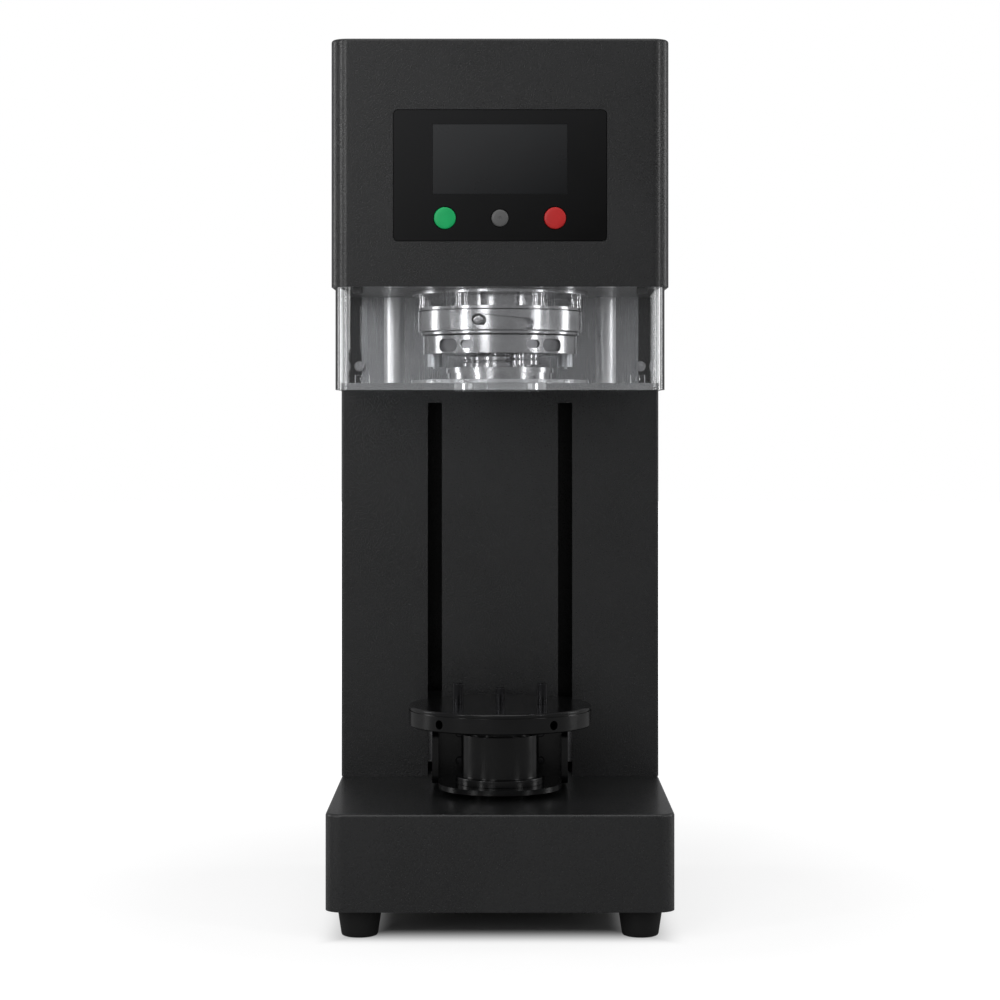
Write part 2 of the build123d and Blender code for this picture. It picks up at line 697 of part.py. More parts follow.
def table_disc():
    groove_radius = TABLE_RADIUS - 1.0
    disc = rod(TABLE_RADIUS, TABLE_Z, TABLE_Z + TABLE_RIM_HEIGHT)
    disc = chamfer(disc.edges().sort_by(Axis.Z)[0], 0.6)
    disc += rod(groove_radius, TABLE_Z, TABLE_PLATE_Z)
    disc += rod(PISTON_RADIUS, HUB_TOP - PISTON_LENGTH, TABLE_Z)
    hole = Rot(90, 0, 0) * Cylinder(SPANNER_HOLE_RADIUS, 2 * SPANNER_HOLE_DEPTH)
    for angle in SPANNER_ANGLES:
        for turn in (angle, angle + 180):
            disc -= radial(hole, turn, TABLE_RADIUS, TABLE_Z + TABLE_RIM_HEIGHT / 2)
    return disc


def table_top_plate():
    plate = rod(TABLE_RADIUS, TABLE_PLATE_Z, TABLE_TOP)
    return chamfer(plate.edges().sort_by(Axis.Z)[-1], 0.8)


def locating_pins():
    places = (
        (-PIN_SPACING, PIN_RADIUS, PIN_HEIGHT),
        (0.0, CENTRE_PIN_RADIUS, CENTRE_PIN_HEIGHT),
        (PIN_SPACING, PIN_RADIUS, PIN_HEIGHT),
    )
    pins = []
    for x, radius, height in places:
        pin = rod(radius, TABLE_TOP, TABLE_TOP + height, x)
        pins.append(chamfer(pin.edges().sort_by(Axis.Z)[-1], 0.5))
    return pins


# ---- Head ----
def head_shell():
    half = HEAD_WIDTH / 2
    body = rounded_slab(-half, half, HEAD_Y, BACK_Y, HEAD_Z, HEAD_TOP, CORNER_RADIUS)
    body = fillet(body.faces().sort_by(Axis.Z)[-1].edges(), EDGE_RADIUS)
    inside = rounded_slab(
        -half + HEAD_SHEET, half - HEAD_SHEET, HEAD_Y + HEAD_SHEET, BACK_Y - HEAD_SHEET,
        HEAD_Z - 1, HEAD_TOP - HEAD_SHEET, CORNER_RADIUS - HEAD_SHEET,
    )
    window = Pos(0, HEAD_Y, BEZEL_Z) * Rot(90, 0, 0) * extrude(
        RectangleRounded(BEZEL_WIDTH + 2 * FIT_GAP, BEZEL_HEIGHT + 2 * FIT_GAP, BEZEL_RADIUS + FIT_GAP),
        HEAD_SHEET + 1, both=True,
    )
    body = body - inside - window
    louvre = Rot(90, 0, 0) * extrude(SlotOverall(90, 4), HEAD_SHEET + 1, both=True)
    for row in range(6):
        body -= Pos(0, BACK_Y, HEAD_TOP - 50 - 10 * row) * louvre
    return body


def head_floor():
    half = HEAD_WIDTH / 2 - HEAD_SHEET
    plate = rounded_slab(
        -half, half, HEAD_Y + HEAD_SHEET, BACK_Y - HEAD_SHEET, HEAD_Z, HEAD_Z + FLOOR_PLATE,
        CORNER_RADIUS - HEAD_SHEET,
    )
    plate -= rod(HOUSING_RADIUS, HEAD_Z - 1, HEAD_Z + FLOOR_PLATE + 1)
    x, y = pinion_centre()
    plate -= rod(CAM_SHAFT_RADIUS + MOVING_GAP, HEAD_Z - 1, HEAD_Z + FLOOR_PLATE + 1, x, y)
    cable_half = 30.0
    cable = slab(-cable_half, cable_half, BACK_Y - 40, BACK_Y - 20, HEAD_Z - 1, HEAD_Z + FLOOR_PLATE + 1)
    return plate - cable


def control_bezel():
    front = HEAD_Y + 0.2
    wall_back = HEAD_Y + HEAD_SHEET
    face = extrude(RectangleRounded(BEZEL_WIDTH, BEZEL_HEIGHT, BEZEL_RADIUS), wall_back - front)
    rim = extrude(
        RectangleRounded(BEZEL_WIDTH + 2 * BEZEL_RIM, BEZEL_HEIGHT + 2 * BEZEL_RIM, BEZEL_RADIUS), BEZEL_BACK
    )
    bezel = Pos(0, wall_back, BEZEL_Z) * Rot(90, 0, 0) * face
    bezel += Pos(0, wall_back + BEZEL_BACK, BEZEL_Z) * Rot(90, 0, 0) * rim
    bezel -= slab(
        -SCREEN_WIDTH / 2, SCREEN_WIDTH / 2, front - 1, wall_back + BEZEL_BACK + 1,
        SCREEN_Z - SCREEN_HEIGHT / 2, SCREEN_Z + SCREEN_HEIGHT / 2,
    )
    for x, radius in button_places():
        bezel -= rod_y(radius + FIT_GAP, front - 1, wall_back + BEZEL_BACK + 1, x, BUTTON_Z)
    return bezel


def button_places():
    return (
        (-BUTTON_SPACING, BUTTON_RADIUS),
        (0.0, GREY_BUTTON_RADIUS),
        (BUTTON_SPACING, BUTTON_RADIUS),
    )


def display_module():
    front = HEAD_Y + 0.35
    back = HEAD_Y + HEAD_SHEET + BEZEL_BACK
    half = SCREEN_WIDTH / 2
    rise = SCREEN_HEIGHT / 2
    glass = slab(-half, half, front, back, SCREEN_Z - rise, SCREEN_Z + rise)
    tray = slab(-half - 6, half + 6, back, back + 8, SCREEN_Z - rise - 6, SCREEN_Z + rise + 6)
    return glass + tray


def button(x, radius):
    """A round cap with a shallow crown, and the stem that runs into its switch."""
    front = HEAD_Y - BUTTON_PROUD
    cap_back = front + BUTTON_CAP
    cap = rod_y(radius, front, cap_back, x, BUTTON_Z)
    cap = fillet(cap.edges().sort_by(Axis.Y)[0], BUTTON_PROUD)
    return cap + rod_y(BUTTON_STEM, cap_back - 1, cap_back + 14, x, BUTTON_Z)


def button_housings():
    cap_back = HEAD_Y - BUTTON_PROUD + BUTTON_CAP
    y0 = cap_back + BUTTON_TRAVEL + 3.0
    y1 = cap_back + BUTTON_TRAVEL + 17.0
    solids = []
    for x, _ in button_places():
        body = slab(x - 9, x + 9, y0, y1, BUTTON_Z - 9, BUTTON_Z + 9)
        solids.append(body - rod_y(BUTTON_STEM + RUNNING_GAP, y0 - 1, y1 - 0.5, x, BUTTON_Z))
    return solids


def control_board():
    """The circuit board, held off the bezel's rim on four posts."""
    rim_back = HEAD_Y + HEAD_SHEET + BEZEL_BACK
    board_y = rim_back + 26.0
    half = BEZEL_WIDTH / 2
    rise = BEZEL_HEIGHT / 2
    board = slab(-half, half, board_y, board_y + 1.6, BEZEL_Z - rise, BEZEL_Z + rise)
    for x in (-half + 5, half - 5):
        for z in (BEZEL_Z - rise + 5, BEZEL_Z + rise - 5):
            board += rod_y(3.0, rim_back, board_y + 0.5, x, z)
    for x, z, size in ((-35, 10, 18), (10, 18, 24), (40, -12, 14)):
        board += slab(
            x - size / 2, x + size / 2, board_y + 1, board_y + 5, BEZEL_Z + z - size / 2, BEZEL_Z + z + size / 2
        )
    return board


# ---- Guard ----
def guard_shell():
    half = GUARD_WIDTH / 2
    outer = rounded_slab(-half, half, GUARD_Y, COLUMN_Y + 40, GUARD_Z, HEAD_Z, CORNER_RADIUS)
    inner = rounded_slab(
        -half + GUARD_WALL, half - GUARD_WALL, GUARD_Y + GUARD_WALL, COLUMN_Y + 40, GUARD_Z - 1, HEAD_Z + 1,
        CORNER_RADIUS - GUARD_WALL,
    )
    shell = outer - inner
    shell -= slab(-half - 1, half + 1, COLUMN_Y, COLUMN_Y + 60, GUARD_Z - 1, HEAD_Z + 1)
    flange_y = COLUMN_Y - SPLASH_SHEET
    for side in (-1, 1):
        edge = side * (half - GUARD_WALL / 2)
        end = side * (half - GUARD_FLANGE)
        flange = slab(min(edge, end), max(edge, end), flange_y - GUARD_WALL, flange_y, GUARD_Z, HEAD_Z)
        hole_z = GUARD_Z + GUARD_SCREW_HEIGHT
        flange -= rod_y(CASE_SCREW_RADIUS, flange_y - 10, flange_y + 10, side * GUARD_SCREW_X, hole_z)
        shell += flange
    return shell


def guard_floor():
    half = GUARD_WIDTH / 2 - GUARD_WALL
    back = COLUMN_Y - SPLASH_SHEET - GUARD_WALL
    plate = rounded_slab(
        -half, half, GUARD_Y + GUARD_WALL, back, GUARD_Z, GUARD_FLOOR_TOP, CORNER_RADIUS - GUARD_WALL
    )
    plate += ring(FLOOR_RING_OUTER, FLOOR_RING_INNER, GUARD_FLOOR_TOP - 0.5, GUARD_FLOOR_TOP + FLOOR_RING_HEIGHT)
    return plate - rod(FLOOR_BORE, GUARD_Z - 1, GUARD_FLOOR_TOP + 1)


def backsplash():
    half = SPLASH_WIDTH / 2
    front = COLUMN_Y - SPLASH_SHEET
    sheet = slab(-half, half, front, COLUMN_Y, GUARD_FLOOR_TOP, HEAD_Z)
    for side in (-1, 1):
        flute = rod(
            FLUTE_RADIUS, GUARD_FLOOR_TOP, HEAD_Z, side * FLUTE_X, front - FLUTE_RISE + FLUTE_RADIUS
        )
        sheet += flute & slab(-half, half, front - 5, front + 0.5, GUARD_FLOOR_TOP, HEAD_Z)
    for side in (-1, 1):
        sheet -= rod_y(
            CASE_SCREW_RADIUS, COLUMN_Y - 10, COLUMN_Y + 10, side * GUARD_SCREW_X,
            GUARD_Z + GUARD_SCREW_HEIGHT,
        )
    return sheet


def can_guide_ring():
    flange_z = GUARD_FLOOR_TOP + GUIDE_HEIGHT
    guide = ring(GUIDE_RADIUS, FLOOR_BORE, GUARD_FLOOR_TOP, flange_z)
    guide += ring(GUIDE_FLANGE_RADIUS, FLOOR_BORE, flange_z, flange_z + GUIDE_FLANGE)
    inner_edge = guide.edges().filter_by(GeomType.CIRCLE).group_by(Axis.Z)[-1].sort_by(SortBy.LENGTH)[0]
    return chamfer(inner_edge, 1.2)


# ---- Seamer ----
def seamer_housing():
    top = SLEEVE_TOP + HOUSING_LIP + 2 * BEARING_WIDTH + BEARING_SPACER + 3.0
    housing = rod(HOUSING_RADIUS, SLEEVE_TOP, top)
    housing += rod(FLANGE_RADIUS, HEAD_Z - FLANGE_THICKNESS, HEAD_Z)
    for index in range(POST_COUNT):
        angle = 2 * pi * (index + 0.5) / POST_COUNT
        x = POST_CIRCLE * sin(angle)
        y = AXIS_Y + POST_CIRCLE * cos(angle)
        housing += rod(POST_RADIUS, SLEEVE_TOP, HEAD_Z, x, y)
    housing -= rod(SPINDLE_RADIUS + MOVING_GAP, SLEEVE_TOP - 1, top + 1)
    return housing - rod(BEARING_OUTER, SLEEVE_TOP + HOUSING_LIP, top + 1)


def guide_sleeve():
    sleeve = ring(SLEEVE_OUTER, SLEEVE_INNER, RETAINER_TOP, SLEEVE_TOP)
    sleeve += ring(SLEEVE_FLANGE_RADIUS, SLEEVE_INNER, SLEEVE_TOP - SLEEVE_FLANGE, SLEEVE_TOP)
    width = 2 * (CAM_SHANK_RADIUS + 0.1)
    height = CAM_DROP + width + 2 * CAM_SLOT_GAP
    slot = Rot(90, 0, 0) * extrude(Rot(0, 0, 90) * SlotOverall(height, width), 10, both=True)
    for index in range(CAM_PIN_COUNT):
        angle = CAM_PIN_ANGLE + 360 * index / CAM_PIN_COUNT
        sleeve -= radial(slot, angle, SLEEVE_INNER, CAM_PIN_Z - CAM_DROP / 2)
    return sleeve


def retaining_ring():
    return ring(CAM_RADIUS - 2.2, SLEEVE_INNER, RETAINER_TOP - RETAINER, RETAINER_TOP)


def involute_point(base_radius, roll):
    """Radius and polar angle of an involute after a roll angle in radians."""
    return base_radius * sqrt(1 + roll * roll), roll - atan(roll)


def tooth(teeth, tip_radius, root_radius, centre_angle):
    """One involute tooth as a face, its root sunk a little into the blank."""
    pitch_radius = GEAR_MODULE * teeth / 2
    base = pitch_radius * cos(radians(GEAR_PRESSURE_ANGLE))
    pitch_roll = tan(radians(GEAR_PRESSURE_ANGLE))
    half = pi / (2 * teeth) - GEAR_BACKLASH / (2 * pitch_radius)
    half_at_base = half + involute_point(base, pitch_roll)[1]
    tip_roll = sqrt((tip_radius / base) ** 2 - 1)
    root_roll = sqrt(max((root_radius / base) ** 2 - 1, 0))
    flank = []
    steps = 5
    for step in range(steps + 1):
        roll = root_roll + (tip_roll - root_roll) * step / steps
        radius, angle = involute_point(base, roll)
        flank.append((radius, half_at_base - angle))
    sunk = (root_radius - 1.0, flank[0][1])
    right = [sunk] + flank
    left = [(radius, -angle) for radius, angle in reversed(right)]
    middle = radians(centre_angle)
    points = [(r * cos(middle + a), r * sin(middle + a)) for r, a in right + left]
    return make_face(Polyline(*points, close=True))


def cam_ring():
    """Turns on the guide sleeve; its helical slots drive the pins down. Its rear carries a gear sector."""
    body = ring(CAM_RADIUS, CAM_INNER, CAM_Z, CAM_TOP)
    body = chamfer(body.edges().filter_by(GeomType.CIRCLE).sort_by(SortBy.LENGTH)[-2:], 0.5)
    half_sweep = CAM_SWEEP / 2
    run = 2 * CAM_RADIUS * sin(radians(half_sweep))
    slant = degrees(atan(CAM_DROP / run))
    width = 2 * (CAM_BALL_RADIUS + CAM_SLOT_GAP)
    face = Rot(0, 0, slant) * SlotCenterToCenter(run + 1.0, width)
    slot = Rot(90, 0, 0) * extrude(face, 12, both=True)
    for index in range(CAM_PIN_COUNT):
        angle = CAM_PIN_ANGLE + half_sweep + 360 * index / CAM_PIN_COUNT
        body -= radial(slot, angle, CAM_RADIUS, CAM_PIN_Z - CAM_DROP / 2)
    root = GEAR_MODULE * (RING_TEETH / 2 - 1.25)
    tip = GEAR_MODULE * (RING_TEETH / 2 + 0.8)
    pitch = 360 / RING_TEETH
    count = round(CAM_SWEEP / pitch) + 2
    first = MESH_ANGLE - 1.5 * pitch
    last = MESH_ANGLE + (count + 0.5) * pitch
    arc_outer = CenterArc((0, 0), root, first, last - first)
    arc_inner = CenterArc((0, 0), CAM_RADIUS - 2, last, first - last)
    edges = [arc_outer, Line(arc_outer @ 1, arc_inner @ 0), arc_inner, Line(arc_inner @ 1, arc_outer @ 0)]
    blank = make_face(edges)
    z0 = CAM_Z + (CAM_HEIGHT - GEAR_HEIGHT) / 2
    sector = extrude(blank, GEAR_HEIGHT)
    for index in range(-1, count + 1):
        sector += extrude(tooth(RING_TEETH, tip, root, MESH_ANGLE + index * pitch), GEAR_HEIGHT)
    return body + Pos(0, AXIS_Y, z0) * sector


def pinion_centre():
    distance = GEAR_MODULE * (RING_TEETH + PINION_TEETH) / 2
    turn = radians(MESH_ANGLE)
    return distance * cos(turn), AXIS_Y + distance * sin(turn)


def cam_pinion():
    x, y = pinion_centre()
    root = GEAR_MODULE * (PINION_TEETH / 2 - 1.25)
    tip = GEAR_MODULE * (PINION_TEETH / 2 + 0.9)
    z0 = CAM_Z + (CAM_HEIGHT - GEAR_HEIGHT) / 2
    gear = extrude(Circle(root), GEAR_HEIGHT)
    pitch = 360 / PINION_TEETH
    for index in range(PINION_TEETH):
        angle = MESH_ANGLE + 180 + (index + 0.5) * pitch
        gear += extrude(tooth(PINION_TEETH, tip, root, angle), GEAR_HEIGHT)
    shaft_top = cam_motor_z() + CAM_MOTOR_HEIGHT - 6
    return Pos(x, y, z0) * gear + rod(CAM_SHAFT_RADIUS, z0, shaft_top, x, y)


def cam_motor_z():
    return HEAD_Z + FLOOR_PLATE


def cam_motor():
    x, y = pinion_centre()
    z0 = cam_motor_z()
    body = rod(CAM_MOTOR_RADIUS, z0, z0 + CAM_MOTOR_HEIGHT, x, y)
    return body - rod(CAM_SHAFT_RADIUS + RUNNING_GAP, z0 - 1, z0 + CAM_MOTOR_HEIGHT - 5, x, y)


def thrust_ring():
    """Slides down inside the guide sleeve, driven by the cam pins."""
    top = THRUST_Z + THRUST_HEIGHT
    band = ring(THRUST_OUTER, THRUST_INNER, THRUST_Z, top)
    web_z = race_z() + RACE_HEIGHT
    web = ring(THRUST_INNER + 1, TURRET_HUB + MOVING_GAP, web_z, web_z + THRUST_WEB)
    body = band + web
    for index in range(CAM_PIN_COUNT):
        angle = CAM_PIN_ANGLE + 360 * index / CAM_PIN_COUNT
        hole = Rot(90, 0, 0) * Cylinder(CAM_SHANK_RADIUS, 30)
        body -= radial(hole, angle, THRUST_OUTER, CAM_PIN_Z)
    return body


def cam_pin(angle):
    shank_start = THRUST_INNER
    ball_start = CAM_INNER + 0.3
    ball_end = CAM_RADIUS + 0.8
    shank = Pos(0, (ball_start - shank_start) / 2, 0)
    shank *= Rot(90, 0, 0) * Cylinder(CAM_SHANK_RADIUS, ball_start - shank_start)
    ball = Rot(90, 0, 0) * Cylinder(CAM_BALL_RADIUS, ball_end - ball_start)
    ball = fillet(ball.edges().sort_by(Axis.Y)[-1], 2.0)
    ball = Pos(0, (ball_end - ball_start) / 2 + ball_start - shank_start, 0) * ball
    return radial(shank + ball, angle, shank_start, CAM_PIN_Z)


def cone_flange_z():
    return TURRET_TOP + CAM_DROP + FIT_GAP


def race_z():
    return cone_flange_z() + CONE_FLANGE + 0.2


def thrust_bearing():
    return ring(RACE_OUTER, RACE_INNER, race_z(), race_z() + RACE_HEIGHT)


def push_cone():
    """Spins with the turret and slides on its hub; its tapered skirt spreads the lever tails."""
    bore = TURRET_HUB + RUNNING_GAP
    flange_z = cone_flange_z()
    skirt_z = TURRET_Z + TURRET_FLOOR + CAM_DROP + FIT_GAP
    cone = rod(RACE_OUTER, flange_z, flange_z + CONE_FLANGE) + rod(CONE_SLEEVE, skirt_z, flange_z)
    cone = chamfer(cone.edges().sort_by(Axis.Z)[0], 2.4)
    return cone - rod(bore, skirt_z - 1, flange_z + CONE_FLANGE + 1)


def lever_points():
    """Pivot, roller and tail points of the left lever, measured from the working axis."""
    turn = radians(ROLLER_ANGLE)
    roller = (-ROLLER_CIRCLE * sin(turn), -ROLLER_CIRCLE * cos(turn))
    return (-PIVOT_CIRCLE, 0.0), roller, (-24.5, -12.5)


def roller_mid_point():
    """Where the left roller stands half way through its swing."""
    (px, py), (qx, qy), _ = lever_points()
    turn = radians(-LEVER_SWING / 2)
    dx = qx - px
    dy = qy - py
    return px + dx * cos(turn) - dy * sin(turn), py + dx * sin(turn) + dy * cos(turn)


def turret_body():
    floor_top = TURRET_Z + TURRET_FLOOR
    body = rod(TURRET_RADIUS, TURRET_Z, floor_top)
    body += ring(TURRET_RADIUS, TURRET_RADIUS - TURRET_RIM, TURRET_Z, TURRET_TOP)
    hub_top = SLEEVE_TOP - 5.0
    body += rod(TURRET_HUB, TURRET_Z, hub_top)
    body -= rod(SPINDLE_RADIUS, TURRET_Z - 1, hub_top + 1)
    half_swing = ROLLER_CIRCLE * radians(LEVER_SWING)
    shaft_hole = ROLLER_PIN_RADIUS + half_swing + MOVING_GAP
    x, y = roller_mid_point()
    for side in (1, -1):
        body -= rod(shaft_hole, TURRET_Z - 1, floor_top + 1, side * x, AXIS_Y + side * y)
        body -= rod(PIVOT_RADIUS, TURRET_Z - 1, floor_top + 1, side * PIVOT_CIRCLE, AXIS_Y)
    middle = TURRET_Z + TURRET_HEIGHT / 2
    large = Rot(90, 0, 0) * extrude(RectangleRounded(17, 9, 4.2), TURRET_RIM + 1, both=True)
    small = Rot(90, 0, 0) * extrude(SlotOverall(10, 6), TURRET_RIM + 1, both=True)
    for back in (0, 180):
        for angle, window, drop in ((42, large, 0.7), (25, small, 0.0)):
            for side in (-1, 1):
                body -= radial(window, back + side * angle, TURRET_RADIUS, middle - drop)
    return body


def turret_cover():
    cover_z = TURRET_TOP - TURRET_COVER
    return ring(TURRET_RADIUS - TURRET_RIM, CONE_SLEEVE + 0.6, cover_z, TURRET_TOP)


def lever_pivot(side):
    cover_z = TURRET_TOP - TURRET_COVER
    x = side * PIVOT_CIRCLE
    head = rod(PIVOT_HEAD_RADIUS, TURRET_Z - PIVOT_HEAD_HEIGHT, TURRET_Z, x)
    tip = rod(1.6, TURRET_Z - PIVOT_HEAD_HEIGHT - 1.6, TURRET_Z - 1, x)
    return head + tip + rod(PIVOT_RADIUS, TURRET_Z - 1, cover_z, x)


def lever():
    """The left lever: a roller arm, a short tail for the cone, and the roller's pin."""
    (px, py), (qx, qy), (nx, ny) = lever_points()
    z0 = TURRET_Z + TURRET_FLOOR + 0.5
    z1 = z0 + LEVER_THICKNESS
    body = bar(px, py, qx, qy, LEVER_WIDTH, z0, z1)
    body += bar(px, py, nx, ny, LEVER_THICKNESS, z0, z1)
    body += rod(PIVOT_HEAD_RADIUS, z0, z1, px, AXIS_Y + py)
    body -= rod(PIVOT_RADIUS + RUNNING_GAP, z0 - 1, z1 + 1, px, AXIS_Y + py)
    head_z = roller_z() - 0.3
    body += rod(ROLLER_PIN_RADIUS, head_z - ROLLER_PIN_HEAD, z1, qx, AXIS_Y + qy)
    return body + rod(ROLLER_PIN_RADIUS + 1.5, head_z - ROLLER_PIN_HEAD, head_z, qx, AXIS_Y + qy)


def roller_z():
    return TURRET_Z - MOVING_GAP - ROLLER_HEIGHT


def roller(groove):
    """A hardened roller with its seaming groove; the groove's height tells the two rollers apart."""
    _, (qx, qy), _ = lever_points()
    z0 = roller_z()
    body = ring(ROLLER_RADIUS, ROLLER_PIN_RADIUS + RUNNING_GAP, z0, z0 + ROLLER_HEIGHT, qx, AXIS_Y + qy)
    cutter = Torus(ROLLER_RADIUS + groove * 0.4, groove)
    return body - Pos(qx, AXIS_Y + qy, z0 + ROLLER_HEIGHT * 0.55) * cutter


def chuck():
    bottom = CHUCK_TOP - CHUCK_HEIGHT
    body = rod(CHUCK_RADIUS, bottom, CHUCK_TOP)
    body = chamfer(body.edges().sort_by(Axis.Z)[-1], 0.8)
    body += rod(CHUCK_NOSE_RADIUS, bottom - CHUCK_NOSE, bottom)
    body = chamfer(body.edges().sort_by(Axis.Z)[0], 1.0)
    return body - rod(CHUCK_SHAFT_RADIUS, bottom - CHUCK_NOSE - 1, CHUCK_TOP + 1)


def chuck_shaft():
    bottom = CHUCK_TOP - CHUCK_HEIGHT - CHUCK_NOSE
    nut_height = 4.0
    shaft = rod(CHUCK_SHAFT_RADIUS, bottom, BRIDGE_Z + BRIDGE_SHEET + 8)
    nut = Pos(0, AXIS_Y, bottom - nut_height) * extrude(RegularPolygon(12, 6), nut_height)
    return shaft + nut


def pulley_z():
    return HEAD_Z + FLOOR_PLATE + PULLEY_RISE


def spindle():
    return ring(SPINDLE_RADIUS, CHUCK_SHAFT_RADIUS + RUNNING_GAP, TURRET_Z, pulley_z() + PULLEY_HEIGHT)


def pulley(radius, bore, x, y):
    z0 = pulley_z()
    flange = (PULLEY_HEIGHT - BELT_WIDTH) / 2 - FIT_GAP
    body = rod(radius, z0, z0 + PULLEY_HEIGHT, x, y)
    body += rod(radius + PULLEY_FLANGE, z0, z0 + flange, x, y)
    body += rod(radius + PULLEY_FLANGE, z0 + PULLEY_HEIGHT - flange, z0 + PULLEY_HEIGHT, x, y)
    return body - rod(bore, z0 - 1, z0 + PULLEY_HEIGHT + 1, x, y)


def motor_pulley():
    y = AXIS_Y + MOTOR_DISTANCE
    shaft_top = BRIDGE_Z + BRIDGE_SHEET + 20
    return pulley(MOTOR_PULLEY, MOTOR_SHAFT_RADIUS, 0, y) + rod(
        MOTOR_SHAFT_RADIUS, pulley_z(), shaft_top, 0, y
    )


def belt_loop(offset):
    """The stadium round both pulleys, grown by an offset."""
    big = SPINDLE_PULLEY + offset
    small = MOTOR_PULLEY + offset
    lean = asin((big - small) / MOTOR_DISTANCE)
    corners = []
    for radius, y, side in ((big, 0, 1), (small, MOTOR_DISTANCE, 1), (small, MOTOR_DISTANCE, -1), (big, 0, -1)):
        corners.append((side * radius * cos(lean), y + radius * sin(lean)))
    between = make_face(Polyline(*corners, close=True))
    return between + Circle(big) + Pos(0, MOTOR_DISTANCE) * Circle(small)


def drive_belt():
    z0 = pulley_z() + (PULLEY_HEIGHT - BELT_WIDTH) / 2
    inner_gap = 0.3
    loop = extrude(belt_loop(inner_gap + BELT_THICKNESS), BELT_WIDTH)
    loop -= Pos(0, 0, -1) * extrude(belt_loop(inner_gap), BELT_WIDTH + 2)
    return Pos(0, AXIS_Y, z0) * loop


def drive_bridge():
    """The bracket over the belt, which holds the chuck shaft and the seaming motor."""
    half = BRIDGE_WIDTH / 2
    y0 = AXIS_Y - 18
    y1 = AXIS_Y + MOTOR_DISTANCE + MOTOR_RADIUS + 5
    top = slab(-half, half, y0, y1, BRIDGE_Z, BRIDGE_Z + BRIDGE_SHEET)
    top -= rod(CHUCK_SHAFT_RADIUS, BRIDGE_Z - 1, BRIDGE_Z + BRIDGE_SHEET + 1)
    motor_y = AXIS_Y + MOTOR_DISTANCE
    top -= rod(MOTOR_SHAFT_RADIUS + MOVING_GAP, BRIDGE_Z - 1, BRIDGE_Z + BRIDGE_SHEET + 1, 0, motor_y)
    for side in (-1, 1):
        edge = side * half
        inner = side * (half - BRIDGE_SHEET)
        top += slab(min(edge, inner), max(edge, inner), y0, y1, HEAD_Z + FLOOR_PLATE, BRIDGE_Z)
    return top


def seaming_motor():
    y = AXIS_Y + MOTOR_DISTANCE
    z0 = BRIDGE_Z + BRIDGE_SHEET
    body = rod(MOTOR_RADIUS, z0, z0 + MOTOR_HEIGHT, 0, y)
    body = fillet(body.edges().sort_by(Axis.Z)[-1], 3.0)
    return body - rod(MOTOR_SHAFT_RADIUS + RUNNING_GAP, z0 - 1, z0 + 21, 0, y)


def main():
    os.makedirs("parts", exist_ok=True)
    save("base_shell", base_shell())
    save("base_plate", base_plate())
    save("rubber_feet", *[rubber_foot(x, y) for x, y in foot_points()])
    save("foot_screws", *[foot_screw(x, y) for x, y in foot_points()])
    save("power_supply", power_supply())
    save("column_shell", column_shell())
    save("column_back_panel", column_back_panel())
    save("case_screws", *case_screws())
    save("power_inlet", power_inlet())
    save("power_rocker", power_rocker())
    save("bearing_plates", *bearing_plates())
    save("guide_rods", *guide_rods())
    save("lift_motor", lift_motor())
    save("lead_screw", lead_screw())
    save("ball_bearings", *ball_bearings())
    save("limit_switches", *limit_switches())
    save("carriage_block", carriage_block())
    save("carriage_bushes", *linear_bearings(), lead_nut())
    save("carriage_arms", carriage_arm(-1), carriage_arm(1))
    save("carriage_tray", carriage_tray())
    save("table_hub", table_hub())
    save("table_spring", table_spring())
    save("table_disc", table_disc())
    save("table_top_plate", table_top_plate())
    save("locating_pins", *locating_pins())
    save("head_shell", head_shell())
    save("head_floor", head_floor())
    save("control_bezel", control_bezel())
    save("display_module", display_module())
    names = ("green_button", "grey_button", "red_button")
    for name, (x, radius) in zip(names, button_places()):
        save(name, button(x, radius))
    save("button_housings", *button_housings())
    save("control_board", control_board())
    save("guard_shell", guard_shell())
    save("guard_floor", guard_floor())
    save("backsplash", backsplash())
    save("can_guide_ring", can_guide_ring())
    save("seamer_housing", seamer_housing())
    save("guide_sleeve", guide_sleeve(), retaining_ring())
    save("cam_ring", cam_ring())
    save("cam_pinion", cam_pinion())
    save("cam_motor", cam_motor())
    save("thrust_ring", thrust_ring(), thrust_bearing())
    angles = [CAM_PIN_ANGLE + 360 * index / CAM_PIN_COUNT for index in range(CAM_PIN_COUNT)]
    save("cam_pins", *[cam_pin(angle) for angle in angles])
    save("push_cone", push_cone())
    save("turret_body", turret_body())
    save("turret_cover", turret_cover())
    save("lever_pivots", lever_pivot(-1), lever_pivot(1))
    save("first_lever", lever())
    save("second_lever", around_axis(lever(), 180))
    save("first_roller", roller(1.6))
    save("second_roller", around_axis(roller(1.1), 180))
    save("chuck", chuck())
    save("chuck_shaft", chuck_shaft())
    save("spindle", spindle() + pulley(SPINDLE_PULLEY, SPINDLE_RADIUS, 0, AXIS_Y))
    save("motor_pulley", motor_pulley())
    save("drive_belt", drive_belt())
    save("drive_bridge", drive_bridge())
    save("seaming_motor", seaming_motor())


if __name__ == "__main__":
    main()
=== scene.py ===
import json
import math

